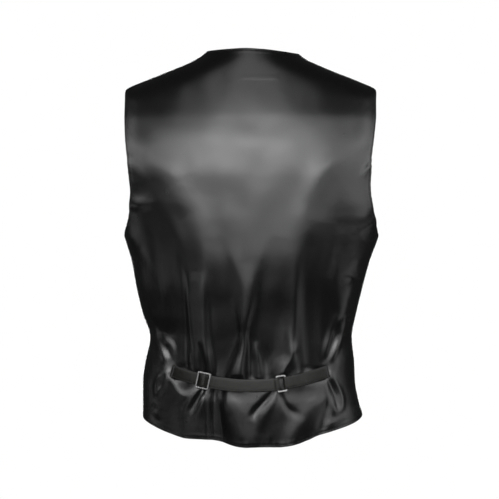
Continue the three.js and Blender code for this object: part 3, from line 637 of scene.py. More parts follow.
def drape(points, seed):
    """A faint uneven swell and sink over a panel, as real cloth has."""
    draw = np.random.default_rng(seed)
    total = np.zeros(points.shape[:2])
    for _ in range(DRAPE_WAVES):
        length = draw.uniform(*DRAPE_LENGTHS)
        turn = draw.uniform(0, np.pi)
        along = (points[..., 0] * np.cos(turn) + points[..., 2] * np.sin(turn)) / length
        height = DRAPE_HEIGHT * length / DRAPE_MIDDLE_LENGTH
        total += height * np.sin(2 * np.pi * along + draw.uniform(0, 2 * np.pi))
    return total


def soften(points, share, rounds):
    """Evens points out along their columns, as far as each point's share says."""
    points = points.copy()
    for _ in range(rounds):
        middle = (points[:-2] + points[2:]) / 2
        points[1:-1] += share[1:-1, :, None] * (middle - points[1:-1]) / 2
    return points


def grid_normals(points):
    around = np.gradient(points, axis=1)
    up = np.gradient(points, axis=0)
    return unit(np.cross(around, up))


def boundary(rows, columns):
    """Indices of a grid's border, once round, from the lower left corner along the bottom."""
    index = np.arange(rows * columns).reshape(rows, columns)
    return np.concatenate((index[0, :-1], index[:-1, -1], index[-1, :0:-1], index[:0:-1, 0]))


def mesh_object(name, vertices, faces, materials, face_materials=None, uv=None):
    """A smooth mesh object in metres from millimetres, with UV in metres if it is given by vertex."""
    mesh = bpy.data.meshes.new(name)
    mesh.from_pydata((np.asarray(vertices) * MM).tolist(), [], faces)
    for material in materials:
        mesh.materials.append(material)
    mesh.polygons.foreach_set("use_smooth", [True] * len(mesh.polygons))
    if face_materials is not None:
        mesh.polygons.foreach_set("material_index", face_materials)
    if uv is not None:
        loops = np.zeros(len(mesh.loops), np.int32)
        mesh.loops.foreach_get("vertex_index", loops)
        layer = mesh.uv_layers.new(name="cloth")
        layer.data.foreach_set("uv", (np.asarray(uv) * MM)[loops].ravel())
    mesh.validate()
    mesh.update()
    obj = bpy.data.objects.new(name, mesh)
    bpy.context.scene.collection.objects.link(obj)
    return obj


def grid_quads(rows, columns):
    corner = (np.arange(rows - 1)[:, None] * columns + np.arange(columns - 1)).ravel()
    return np.stack([corner, corner + 1, corner + columns + 1, corner + columns], axis=-1)


def cloth_shell(name, outer, thickness, materials, uv):
    """A closed thin shell: outer face, inner face and a rounded rim. materials: outside, inside."""
    rows, columns = outer.shape[:2]
    normal = grid_normals(outer)
    inner = outer - normal * thickness
    flat_outer, flat_inner = outer.reshape(-1, 3), inner.reshape(-1, 3)
    border = boundary(rows, columns)
    ahead = np.roll(flat_outer[border], -1, axis=0) - np.roll(flat_outer[border], 1, axis=0)
    sideways = unit(np.cross(ahead, normal.reshape(-1, 3)[border]))
    rim = (flat_outer[border] + flat_inner[border]) / 2 + sideways * thickness * 0.45
    count = rows * columns
    quads = grid_quads(rows, columns)
    rim_index = 2 * count + np.arange(len(border))
    rim_next, border_next = np.roll(rim_index, -1), np.roll(border, -1)
    faces = [
        quads,
        quads[:, ::-1] + count,
        np.stack([border_next, border, rim_index, rim_next], axis=-1),
        np.stack([rim_next, rim_index, border + count, border_next + count], axis=-1),
    ]
    inside = np.concatenate([np.full(len(part), kind) for part, kind in zip(faces, (0, 1, 0, 0))])
    flat_uv = uv.reshape(-1, 2)
    vertices = np.concatenate((flat_outer, flat_inner, rim))
    all_uv = np.concatenate((flat_uv, flat_uv, flat_uv[border]))
    faces = np.concatenate(faces).tolist()
    return mesh_object(name, vertices, faces, materials, inside.astype(np.int32), all_uv), normal


def cloth_uv(points, height):
    """Girth and height of a panel's points, in millimetres, as its cloth was cut."""
    along = travelled(points, 1)
    return np.stack([along - along[:, -1:] / 2, height], axis=-1)


def stitches(lines, length=STITCH_LENGTH, pitch=STITCH_PITCH, radius=THREAD_RADIUS, sink=0.1):
    """Runs of thread along lines of (points, normals): each stitch is a small bead bowed into the cloth."""
    sides = 6
    turn = np.arange(sides) * 2 * np.pi / sides
    rings = [(-1, 0.35, -1.3), (-0.72, 0.95, -0.1), (0, 1.05, 0.25), (0.72, 0.95, -0.1), (1, 0.35, -1.3)]
    vertices, faces = [], []
    for points, normals in lines:
        at = travelled(points, 0)
        if at[-1] < length:
            continue
        middles = np.arange(length / 2, at[-1] - length / 2, pitch)
        start = along_line(points, at, middles - length / 2)
        end = along_line(points, at, middles + length / 2)
        out = unit(along_line(normals, at, middles))
        heading = unit(end - start)
        aside = np.cross(heading, out)
        for centre, ahead, up, side, half in zip(
            (start + end) / 2, heading, out, aside, np.linalg.norm(end - start, axis=1) / 2
        ):
            base = len(vertices)
            for along, size, lift in rings:
                spine = centre + ahead * half * along + up * (radius * (lift + 0.35) - sink)
                for angle in turn:
                    vertices.append(spine + radius * size * (side * math.cos(angle) + up * math.sin(angle)))
            for ring in range(len(rings) - 1):
                for k in range(sides):
                    a, b = base + ring * sides + k, base + ring * sides + (k + 1) % sides
                    faces.append((a, b, b + sides, a + sides))
            faces.append(tuple(base + k for k in reversed(range(sides))))
            faces.append(tuple(base + (len(rings) - 1) * sides + k for k in range(sides)))
    return vertices, faces


# Materials


def new_material(name):
    """A node material, its tree and its shader."""
    material = bpy.data.materials.new(name)
    material.use_nodes = True
    tree = material.node_tree
    return material, tree, tree.nodes["Principled BSDF"]


def node(tree, kind, settings=None, **inputs):
    """Adds a node, with its settings, and its inputs by name: a value, or a socket to link."""
    made = tree.nodes.new(kind)
    for key, value in (settings or {}).items():
        setattr(made, key, value)
    for key, value in inputs.items():
        socket = made.inputs[key.replace("_", " ")]
        if isinstance(value, bpy.types.NodeSocket):
            tree.links.new(value, socket)
        else:
            socket.default_value = value
    return made


def noise(tree, vector, scale, detail=2.0, distortion=0.0):
    settings = {"Vector": vector, "Scale": scale, "Detail": detail, "Distortion": distortion}
    return node(tree, "ShaderNodeTexNoise", **settings).outputs["Fac"]


def wave(tree, direction, vector, scale, distortion=0.0):
    settings = {"Vector": vector, "Scale": scale, "Distortion": distortion}
    return node(tree, "ShaderNodeTexWave", {"bands_direction": direction}, **settings).outputs["Fac"]


def scaled(tree, vector, scale, rotation=0.0):
    made = node(tree, "ShaderNodeMapping", Vector=vector)
    made.inputs["Scale"].default_value = scale
    made.inputs["Rotation"].default_value = (0, 0, rotation)
    return made.outputs["Vector"]


def ramp(tree, factor, stops):
    made = node(tree, "ShaderNodeValToRGB", Fac=factor)
    elements = made.color_ramp.elements
    while len(elements) < len(stops):
        elements.new(0.5)
    for element, (position, colour) in zip(elements, stops):
        element.position = position
        element.color = (*colour, 1)
    return made.outputs["Color"]


def range_of(tree, value, low, high):
    made = node(tree, "ShaderNodeMapRange", Value=value)
    made.inputs["To Min"].default_value = low
    made.inputs["To Max"].default_value = high
    return made.outputs["Result"]


def bump(tree, height, distance, strength=1.0, normal=None):
    made = node(tree, "ShaderNodeBump", Height=height, Distance=distance, Strength=strength)
    if normal is not None:
        tree.links.new(normal, made.inputs["Normal"])
    return made.outputs["Normal"]


def shade_range(base, low, high):
    return tuple(c * low for c in base), tuple(c * high for c in base)


def satin_material(name, base, roughness, anisotropy, mottling, specular=0.5):
    """Satin: long floats that spread a highlight sideways, a fine cross weave and a soft uneven drape."""
    material, tree, shader = new_material(name)
    uv = node(tree, "ShaderNodeUVMap", {"uv_map": "cloth"}).outputs["UV"]
    cloud = noise(tree, uv, 26.0, 3.0)
    slub = noise(tree, scaled(tree, uv, (900, 60, 1)), 1.0)
    warp = wave(tree, "X", uv, 420.0, 0.6)
    weft = wave(tree, "Y", uv, 260.0, 0.8)
    tint = ramp(tree, slub, list(zip((0.3, 0.7), shade_range(base, 0.75, 1.35))))
    tree.links.new(tint, shader.inputs["Base Color"])
    rough = range_of(tree, cloud, roughness * 0.88, roughness * 1.12)
    tree.links.new(rough, shader.inputs["Roughness"])
    uneven = bump(tree, cloud, mottling)
    across = bump(tree, weft, 0.00004, 0.5, uneven)
    along = bump(tree, warp, 0.00005, 0.5, across)
    tree.links.new(along, shader.inputs["Normal"])
    tangent = node(tree, "ShaderNodeTangent", {"direction_type": "UV_MAP", "uv_map": "cloth"})
    tree.links.new(tangent.outputs["Tangent"], shader.inputs["Tangent"])
    shader.inputs["Anisotropic"].default_value = anisotropy
    shader.inputs["Specular IOR Level"].default_value = specular
    return material


def suiting_material():
    """Fine wool twill: diagonal ribs, a slight nap and a soft sheen at its edges."""
    material, tree, shader = new_material("suiting_twill")
    uv = node(tree, "ShaderNodeUVMap", {"uv_map": "cloth"}).outputs["UV"]
    slanted = scaled(tree, uv, (1, 1, 1), math.radians(58))
    rib = wave(tree, "X", slanted, 230.0, 1.2)
    nap = noise(tree, uv, 2600.0, 3.0)
    cloud = noise(tree, uv, 22.0, 3.0)
    tint = ramp(tree, nap, list(zip((0.3, 0.72), shade_range((0.016, 0.016, 0.018), 0.6, 1.7))))
    tree.links.new(tint, shader.inputs["Base Color"])
    tree.links.new(range_of(tree, nap, 0.72, 0.92), shader.inputs["Roughness"])
    soft = bump(tree, cloud, 0.0012)
    ribbed = bump(tree, rib, 0.00012, 0.7, soft)
    tree.links.new(bump(tree, nap, 0.00008, 0.5, ribbed), shader.inputs["Normal"])
    shader.inputs["Sheen Weight"].default_value = 0.18
    shader.inputs["Sheen Roughness"].default_value = 0.45
    shader.inputs["Specular IOR Level"].default_value = 0.35
    return material


def metal_material():
    """Polished dark nickel plate with a little wear and fine polishing lines."""
    material, tree, shader = new_material("dark_nickel")
    place = node(tree, "ShaderNodeTexCoord").outputs["Object"]
    wear = noise(tree, place, 320.0, 4.0)
    lines = noise(tree, scaled(tree, place, (6000, 6000, 300)), 1.0)
    tint = ramp(tree, wear, [(0.35, (0.2, 0.2, 0.205)), (0.7, (0.28, 0.275, 0.27))])
    tree.links.new(tint, shader.inputs["Base Color"])
    tree.links.new(range_of(tree, wear, 0.12, 0.26), shader.inputs["Roughness"])
    tree.links.new(bump(tree, lines, 0.00001, 0.4), shader.inputs["Normal"])
    shader.inputs["Metallic"].default_value = 1.0
    return material


def button_material():
    """Semi-gloss black button with faint clouds of dark grey."""
    material, tree, shader = new_material("button_black")
    place = node(tree, "ShaderNodeTexCoord").outputs["Object"]
    cloud = noise(tree, place, 220.0, 4.0, 1.5)
    tint = ramp(tree, cloud, [(0.4, (0.006, 0.006, 0.007)), (0.7, (0.02, 0.019, 0.018))])
    tree.links.new(tint, shader.inputs["Base Color"])
    tree.links.new(range_of(tree, cloud, 0.2, 0.34), shader.inputs["Roughness"])
    tree.links.new(bump(tree, cloud, 0.00006, 0.5), shader.inputs["Normal"])
    shader.inputs["Coat Weight"].default_value = 0.3
    return material


def thread_material():
    """Black twisted thread."""
    material, tree, shader = new_material("thread_black")
    place = node(tree, "ShaderNodeTexCoord").outputs["Object"]
    twist = wave(tree, "DIAGONAL", place, 1100.0)
    tint = ramp(tree, twist, [(0.2, (0.008, 0.008, 0.009)), (0.8, (0.022, 0.022, 0.023))])
    tree.links.new(tint, shader.inputs["Base Color"])
    tree.links.new(bump(tree, twist, 0.00005, 0.6), shader.inputs["Normal"])
    shader.inputs["Roughness"].default_value = 0.5
    return material


def floor_material():
    material, tree, shader = new_material("pale_floor")
    place = node(tree, "ShaderNodeTexCoord").outputs["Object"]
    cloud = noise(tree, place, 3.0)
    tint = ramp(tree, cloud, [(0.3, (0.8, 0.8, 0.8)), (0.7, (0.84, 0.84, 0.84))])
    tree.links.new(tint, shader.inputs["Base Color"])
    shader.inputs["Roughness"].default_value = 0.9
    return material


# Cloth panels


def finish_piece(obj, slot_name, *replaced):
    """Every piece rides on the one body, and may stand for solids."""
    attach(obj, "root")
    if replaced:
        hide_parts(*replaced)


def armhole_rows(place, share):
    """How far each point's row lies beside the armhole: 0 or 1, with a short change at its two ends."""
    return smoothstep(place, 0.98, 1.02) * (1 - smoothstep(place, 1.98, 2.02)) + 0 * share


def sew_edges(name, slot_name, outer, normal, picks, thread):
    """Rows of stitches over the picked runs of a panel's points."""
    sewing = mesh_object(name, *stitches([(outer[pick], normal[pick]) for pick in picks]), [thread])
    finish_piece(sewing, slot_name)
    return sewing


def make_back(outside, thread):
    """The one-piece back, with its folds, gathers, turned edges and stitching."""
    across, columns, *rows = BACK_GRID
    share = clustered(columns, across, EDGE_STEPS)[None, :]
    place = panel_places(*rows)[:, None]
    angle, height, _ = back_place(share, place)
    form = form_point(angle, height)
    along_left = travelled(form, 1)
    from_left, from_right = along_left, along_left[:, -1:] - along_left
    near_tips = np.exp(-(((height - SHOULDER_TIP) / SHOULDER_SOFT_SPAN) ** 2))
    inside = smoothstep(np.minimum(from_left, from_right), 2, 22)
    form = soften(form, near_tips * inside, SHOULDER_SOFT_ROUNDS)
    up_bottom = travelled(form, 0)
    from_hem, from_neck = up_bottom, up_bottom[-1:] - up_bottom
    armhole = armhole_rows(place, share)
    offset = folds_at(form, angle) + drape(form, 5) * inside
    offset = offset + edge_finish(from_left, armhole) + edge_finish(from_right, armhole)
    offset = offset + edge_finish(from_hem, 1.0) + edge_finish(from_neck, 1.0)
    offset += puckers(up_bottom[:, :1], from_left, LEFT_GATHERS, 7, 11)
    offset += puckers(up_bottom[:, -1:], from_right, RIGHT_GATHERS, 7, 12)
    offset += puckers(along_left[:1], from_hem, HEM_GATHERS, 11, 13)
    outer = form + form_normal(angle, height) * offset[..., None]
    uv = cloth_uv(form, height)
    back, normal = cloth_shell("back_satin", outer, BACK_THICKNESS, [outside, outside], uv)
    finish_piece(back, "satin", "back")
    under, over = np.searchsorted(place[:, 0], [1.0, 2.0])
    hem, neck = np.s_[EDGE_LINE, 4:-4], np.s_[-1 - EDGE_LINE, 4:-4]
    left, right = np.s_[under:over, EDGE_LINE], np.s_[under:over, -1 - EDGE_LINE]
    sewing = sew_edges("back_stitching", "satin", outer, normal, (hem, neck, left, right), thread)


def make_front(name, on_right, outside, inside, thread):
    """One front, with turned and stitched edges."""
    across, columns, *rows = FRONT_GRID
    share = clustered(columns, across, EDGE_STEPS)[None, :]
    place = panel_places(*rows)[:, None]
    angle, height, step = front_place(on_right, share, place)
    form = form_point(angle, height)
    around = travelled(form, 1)
    from_side, from_edge = around, around[:, -1:] - around
    if not on_right:
        from_side, from_edge = from_edge, from_side
    up = travelled(form, 0)
    armhole = armhole_rows(place, share)
    offset = folds_at(form, angle) + step
    offset = offset + edge_finish(from_side, armhole) + edge_finish(from_edge, 1.0) + edge_finish(up, 1.0)
    offset = offset - SEAM_DIP * np.exp(-(((up[-1:] - up) / SEAM_WIDTH) ** 2))
    side_up = up[:, :1] if on_right else up[:, -1:]
    offset += puckers(side_up, from_side, FRONT_GATHERS, 8, 21 + on_right)
    outer = form + form_normal(angle, height) * offset[..., None]
    panel, normal = cloth_shell(name, outer, FRONT_THICKNESS, [outside, inside], cloth_uv(form, height))
    finish_piece(panel, "suiting", "front_right" if on_right else "front_left")
    under, over = np.searchsorted(place[:, 0], [1.0, 2.0])
    side_column, edge_column = (EDGE_LINE, -1 - EDGE_LINE) if on_right else (-1 - EDGE_LINE, EDGE_LINE)
    hem, edge = np.s_[EDGE_LINE, 4:-4], np.s_[4:-2, edge_column]
    side = np.s_[under:over, side_column]
    sewing = sew_edges(name + "_stitching", "suiting", outer, normal, (hem, edge, side), thread)


# Strap and fittings


def strap_line():
    """The line over the back that the strap follows, by distance along it from the centre back."""
    x = np.linspace(-1, 1, 1201) * (STRAP_HALF_SPAN + 15)
    height = strap_height(x)
    width, depth, power = ring_sizes(height, x > 0, True)
    points = np.stack([x, -ring_coordinate(x, width, depth, power), height], axis=-1)
    along = travelled(points, 0)
    return points, along - along[-1] / 2


STRAP_POINTS, STRAP_ALONG = strap_line()


def strap_frame(along):
    """Origin, tangent, outward and across directions at distances along the strap."""
    along = np.asarray(along, float)
    origin, before, after = (along_line(STRAP_POINTS, STRAP_ALONG, along + step) for step in (0, -1, 1))
    tangent = unit(after - before)
    out = form_normal(np.arctan2(origin[..., 0], -origin[..., 1]), origin[..., 2])
    out = unit(out - tangent * (out * tangent).sum(-1, keepdims=True))
    return origin, tangent, out, np.cross(out, tangent)


def steps_from(centre, rows):
    """Points of a strap's route, from rows of (step from a centre, height over the cloth)."""
    return [(centre + step, out) for step, out in rows]


def ring_turn(side):
    """The strap's turn round one end bar of the ring, from over it to under it."""
    return steps_from(RING_CENTRE, [(side * step, out) for step, out in RING_TURN])


def long_strap_route():
    """From the left end over the slider, round the ring's bar and back round the slider's middle bar."""
    midway = [lerp(SLIDER_CENTRE, RING_CENTRE, share) for share in (0.4, 0.6, 0.5)]
    return [
        *steps_from(LEFT_END, [(0, END_LAYER), (8, LOW_LAYER)]),
        *steps_from(SLIDER_CENTRE, SLIDER_CROSSING),
        *[(along, HIGH_LAYER) for along in midway[:2]],
        (RING_CENTRE - 24, HIGH_LAYER),
        *ring_turn(-1),
        *steps_from(RING_CENTRE, [(-12, LOW_LAYER), (-30, LOW_LAYER)]),
        (midway[2], LOW_LAYER),
        *steps_from(SLIDER_CENTRE, SLIDER_TURN),
    ]


def short_strap_route():
    """From under the ring round its bar, and over itself to the right end."""
    under = [(27, LOW_LAYER), (18, LOW_LAYER), (10, LOW_LAYER)]
    over = [(18, HIGH_LAYER), (28, HIGH_LAYER), (40, 1.2), (55, LOW_LAYER)]
    return [
        *steps_from(RING_CENTRE, under),
        *reversed(ring_turn(1)),
        *steps_from(RING_CENTRE, over),
        *steps_from(RIGHT_END, [(-8, LOW_LAYER), (0, END_LAYER)]),
    ]


def strap_section():
    """Across and thickness shares of a strap's section, once round, with round edges."""
    across = np.concatenate(([-0.975], np.linspace(-0.94, 0.94, 15), [0.975]))
    face = np.concatenate(([0.7], np.full(15, 1.0), [0.7]))
    top = list(zip(across, face))
    bottom = [(a, -f) for a, f in reversed(top)]
    return np.array(top + [(1.0, 0.0)] + bottom + [(-1.0, 0.0)])


def make_strap(name, node_name, route, seed, material, thread):
    """A strap swept along its route, a little uneven, with a row of stitches along each edge."""
    centre = catmull_rom(route, 8)
    heading = unit(np.gradient(centre, axis=0))
    travel = travelled(centre, 0)
    section = strap_section()
    across, face = section[:, 0], section[:, 1]
    draw = np.random.default_rng(seed)
    waves = [(draw.uniform(9, 34), draw.uniform(0, 6.28), draw.uniform(-1, 1)) for _ in range(6)]
    ripple = sum(np.sin(travel[:, None] / size + phase + slant * across) for size, phase, slant in waves)
    edge_wobble = 0.25 * np.sin(travel / 17 + seed) * (STRAP_WIDTH / 19)
    groove = -0.16 * np.exp(-(((abs(across) - 0.79) / 0.07) ** 2))
    swell = 0.1 * (1 - across**2)
    face_offset = face * (STRAP_THICKNESS / 2 + np.where(face != 0, groove + swell, 0)) + 0.035 * ripple
    origin, tangent, out, sideways = strap_frame(centre[:, 0])
    move_along = -heading[:, 1:2] * face_offset
    move_out = centre[:, 1:2] + heading[:, :1] * face_offset
    width = across * (STRAP_WIDTH / 2) + edge_wobble[:, None] * across
    points = (
        origin[:, None]
        + tangent[:, None] * move_along[..., None]
        + out[:, None] * move_out[..., None]
        + sideways[:, None] * width[..., None]
    )
    rows, columns = points.shape[:2]
    flat = points.reshape(-1, 3)
    faces = []
    for row in range(rows - 1):
        for column in range(columns):
            a = row * columns + column
            b = row * columns + (column + 1) % columns
            faces.append((a, a + columns, b + columns, b))
    faces.append(tuple(range(columns)))
    faces.append(tuple(reversed(range((rows - 1) * columns, rows * columns))))
    uv = np.stack(np.broadcast_arrays(travel[:, None], width), axis=-1)
    strap = mesh_object(name, flat, faces, [material], None, uv.reshape(-1, 2))
    finish_piece(strap, "strap_satin", node_name)
    lines = []
    for column in (2, 14, 20, 32):
        side = 1 if face[column] > 0 else -1
        normal = side * (-heading[:, 1:2] * tangent + heading[:, :1] * out)
        lines.append((points[:, column], normal))
    sewing = mesh_object(name + "_stitching", *stitches(lines, 2.2, 2.9, 0.15, 0.04), [thread])
    finish_piece(sewing, "strap_satin")


def rounded_rectangle(centre_x, width, height, corner, steps=6):
    points = []
    for quarter, (sx, sy) in enumerate(((1, 1), (-1, 1), (-1, -1), (1, -1))):
        for step in range(steps + 1):
            angle = (quarter + step / steps) * math.pi / 2
            x = centre_x + sx * (width / 2 - corner) + corner * math.cos(angle)
            y = sy * (height / 2 - corner) + corner * math.sin(angle)
            points.append((x, y))
    return points


def make_frame_piece(name, length, bars, along, out, material):
    """A flat metal frame with round edges, one slot between each two bars, laid on the strap line."""
    height = SLOT_HEIGHT + 2 * RAIL
    slot_length = (length - bars * BAR) / (bars - 1)
    outlines = [rounded_rectangle(0, length, height, CORNER)]
    for i in range(bars - 1):
        centre = -length / 2 + BAR + slot_length / 2 + i * (slot_length + BAR)
        outlines.append(rounded_rectangle(centre, slot_length, SLOT_HEIGHT, 0.8))
    curve = bpy.data.curves.new(name, "CURVE")
    curve.dimensions = "2D"
    curve.fill_mode = "BOTH"
    curve.extrude = (HARDWARE_DEPTH / 2 - BEVEL) * MM
    curve.bevel_depth = BEVEL * MM
    curve.offset = -BEVEL * MM
    curve.bevel_resolution = 3
    for outline in outlines:
        spline = curve.splines.new("POLY")
        spline.points.add(len(outline) - 1)
        for point, (x, y) in zip(spline.points, outline):
            point.co = (x * MM, y * MM, 0, 1)
        spline.use_cyclic_u = True
    source = bpy.data.objects.new(name + "_outline", curve)
    bpy.context.scene.collection.objects.link(source)
    bpy.context.view_layer.update()
    mesh = bpy.data.meshes.new_from_object(source.evaluated_get(bpy.context.evaluated_depsgraph_get()))
    bpy.data.objects.remove(source)
    mesh.name = name
    origin, tangent, outward, across = strap_frame(along)
    place = (origin + outward * (out + HARDWARE_DEPTH / 2)) * MM
    turn = Matrix([tangent, across, outward]).transposed().to_4x4()
    mesh.transform(Matrix.Translation(Vector(place)) @ turn)
    mesh.materials.clear()
    mesh.materials.append(material)
    mesh.polygons.foreach_set("use_smooth", [True] * len(mesh.polygons))
    obj = bpy.data.objects.new(name + "_metal", mesh)
    bpy.context.scene.collection.objects.link(obj)
    smooth_by_angle(obj, 40)
    finish_piece(obj, "fittings", name)


def smooth_by_angle(obj, degrees):
    """Marks edges over an angle as sharp, so that flats stay flat beside round edges."""
    mesh = obj.data
    limit = math.cos(math.radians(degrees))
    by_edge = {}
    for polygon in mesh.polygons:
        for key in polygon.edge_keys:
            by_edge.setdefault(key, []).append(polygon.normal.copy())
    for edge in mesh.edges:
        normals = by_edge.get(tuple(sorted(edge.vertices)), [])
        edge.use_edge_sharp = len(normals) == 2 and normals[0].dot(normals[1]) < limit


def make_strap_ends(thread):
    """A close row of stitches that holds each outer end of the strap."""
    lines = []
    for along in (LEFT_END + END_STITCH_INSET, RIGHT_END - END_STITCH_INSET):
        for across in np.arange(-END_STITCH_REACH, END_STITCH_REACH + 0.01, END_STITCH_SPACING):
            wobble = 0.35 * math.sin(across * 2.3 + along)
            ends = along + np.array([-END_STITCH_HALF_LENGTH, END_STITCH_HALF_LENGTH]) + wobble
            origin, _, outward, sideways = strap_frame(ends)
            lines.append((origin + outward * END_STITCH_OUT + sideways * across, outward))
    sewing = mesh_object("strap_end_stitching", *stitches(lines, 3.1, 4, 0.22, 0.02), [thread])
    finish_piece(sewing, "strap_satin")


def lathe(profile, segments):
    """Vertices and faces of (radius, height) rows turned round the height, closed on the axis."""
    vertices = [(0, 0, profile[0][1])]
    inner = profile[1:-1]
    for radius, height in inner:
        for k in range(segments):
            angle = 2 * math.pi * k / segments
            vertices.append((radius * math.cos(angle), radius * math.sin(angle), height))
    vertices.append((0, 0, profile[-1][1]))
    last = len(vertices) - 1
    faces = []
    for k in range(segments):
        after = (k + 1) % segments
        faces.append((0, 1 + after, 1 + k))
        for ring in range(len(inner) - 1):
            a, b = 1 + ring * segments + k, 1 + ring * segments + after
            faces.append((a, b, b + segments, a + segments))
        top = 1 + (len(inner) - 1) * segments
        faces.append((top + k, top + after, last))
    return vertices, faces


def button_profile():
    """Underside, round edge, rim and dished face of a button."""
    radius, thick = BUTTON_RADIUS, BUTTON_THICKNESS
    return [
        (0, 0),
        (radius * 0.8, 0),
        (radius * 0.9, thick * 0.06),
        (radius * 0.97, thick * 0.22),
        (radius, thick * 0.45),
        (radius * 0.985, thick * 0.72),
        (radius * 0.94, thick * 0.9),
        (radius * 0.87, thick),
        (radius * 0.8, thick * 0.97),
        (radius * 0.745, thick * 0.84),
        (radius * 0.7, thick * 0.71),
        (radius * 0.6, thick * 0.66),
        (0, thick * 0.63),
    ]


def cloth_surface_front(height):
    """The left front's outer point on the centre line, and its outward direction."""
    angle = np.full(1, -math.pi + 1e-4)
    level = np.full(1, float(height))
    point = form_point(angle, level)
    normal = form_normal(angle, level)
    return (point + normal * folds_at(point, angle)[..., None])[0], normal[0]


def make_button(number, height, material, thread):
    """A turned button with four holes and its thread."""
    point, normal = cloth_surface_front(height)
    drills = []
    vertices, faces = lathe(button_profile(), 64)
    obj = mesh_object(f"button_{number}_turned", vertices, faces, [material])
    for x, y in ((1, 1), (1, -1), (-1, 1), (-1, -1)):
        profile = [(0, -1), (HOLE_RADIUS, -1), (HOLE_RADIUS, 4), (0, 4)]
        hole_vertices, hole_faces = lathe(profile, 20)
        moved = [(vx + x * HOLE_OFFSET, vy + y * HOLE_OFFSET, vz) for vx, vy, vz in hole_vertices]
        drills.append(mesh_object("drill", moved, hole_faces, []))
        cut = obj.modifiers.new("hole", "BOOLEAN")
        cut.operation = "DIFFERENCE"
        cut.solver = "EXACT"
        cut.object = drills[-1]
    bpy.context.view_layer.update()
    mesh = bpy.data.meshes.new_from_object(obj.evaluated_get(bpy.context.evaluated_depsgraph_get()))
    obj.modifiers.clear()
    obj.data = mesh
    for drill in drills:
        bpy.data.objects.remove(drill)
    turn = Vector((0, 0, 1)).rotation_difference(Vector(normal)).to_matrix().to_4x4()
    place = Matrix.Translation(Vector((point + normal * BUTTON_LIFT) * MM)) @ turn
    mesh.transform(place)
    smooth_by_angle(obj, 35)
    finish_piece(obj, "buttons", f"button_{number}")
    rest = BUTTON_THICKNESS * 0.66
    lines = []
    for y in (-HOLE_OFFSET, HOLE_OFFSET):
        for shift in (-0.32, 0, 0.32):
            ends = np.array([(-HOLE_OFFSET, y + shift, rest), (HOLE_OFFSET, y + shift, rest)])
            lines.append((ends, np.array([(0, 0, 1.0), (0, 0, 1.0)])))
    beads = stitches(lines, 3.3, 9, 0.26, 0.05)
    sewing = mesh_object(f"button_{number}_thread", *beads, [thread])
    sewing.data.transform(place)
    finish_piece(sewing, "buttons")


def make_buttonholes(thread):
    """A close ring of stitches round each slit in the left front, and a bar at its end."""
    lines = []
    for i in range(BUTTON_COUNT):
        height = TOP_BUTTON - i * BUTTON_SPACING
        for side in (-1, 1):
            for x in np.arange(BUTTONHOLE_END, BUTTONHOLE_START, 0.55):
                lines.append(thread_on_front(x, height + side * 0.25, x, height + side * 1.7))
        for y in np.arange(-1.7, 1.71, 0.5):
            end = BUTTONHOLE_END - 0.2
            lines.append(thread_on_front(end - 1.4, height + y, end, height + y))
    sewing = mesh_object("buttonhole_stitching", *stitches(lines, 1.3, 4, 0.24, 0.02), [thread])
    finish_piece(sewing, "suiting")


def thread_on_front(x0, z0, x1, z1):
    """A straight run of thread on the left front's outer face."""
    x, z = np.array([x0, x1], float), np.array([z0, z1], float)
    width, depth, power = ring_sizes(z, x > 0, False)
    y = ring_coordinate(x, width, depth, power)
    angle = np.arctan2(x, -y)
    point = form_point(angle, z)
    normal = form_normal(angle, z)
    return point + normal * folds_at(point, angle)[..., None], normal


# Studio


def bearing(azimuth, elevation):
    """A direction: azimuth 0 points straight back and grows towards the right."""
    turn, rise = math.radians(azimuth), math.radians(elevation)
    return Vector((math.sin(turn) * math.cos(rise), -math.cos(turn) * math.cos(rise), math.sin(rise)))


# Soft boxes: name, azimuth, elevation, width and height in degrees as the object sees them, and radiance
SOFT_BOXES = [
    ("top", -3, 57, 40, 22, 1.75),
    ("dome", 0, 39, 50, 11, 2.8),
    ("edge", 0, 28, 40, 8, 4.3),
    ("edge_left", -45, 29, 44, 8, 3.6),
    ("edge_right", 50, 29, 54, 8, 3.75),
    ("band", 0, 19, 44, 12, 8.8),
    ("band_left", -40, 19, 34, 10, 4.3),
    ("band_far_left", -85, 19, 50, 10, 3.1),
    ("band_right", 40, 19, 34, 10, 2.85),
    ("band_far_right", 85, 19, 50, 10, 3.2),
    ("middle", 0, 9, 34, 9, 4.7),
    ("middle_far_left", -60, 9, 36, 9, 1.3),
    ("middle_far_right", 65, 9, 50, 9, 1.7),
    ("level", 0, 0, 30, 9, 2.1),
    ("level_left", -30, 0, 24, 9, 3.2),
    ("level_right", 30, 0, 24, 9, 1.85),
    ("level_far_right", 65, 0, 50, 9, 2.2),
    ("low", 0, -8, 22, 7, 3.1),
    ("low_right", 22, -8, 18, 7, 2.4),
    ("low_far_left", -95, -11, 22, 8, 1.2),
    ("low_far_right", 68, -9, 34, 8, 1.3),
    ("deep", -2, -16, 22, 7, 1.0),
    ("under_left", -44, -24, 46, 6, 0.95),
    ("under", 2, -23, 40, 6, 0.9),
    ("under_far_right", 88, -25, 36, 8, 1.2),
    ("front", 180, 2, 24, 24, 12.0),
]
LIT_POINT = (0, -0.1, -0.25)
LIGHT_DISTANCE = 4.0
LOW_LIGHT_ELEVATION = -12
LOW_LIGHT_DISTANCE = 2.0


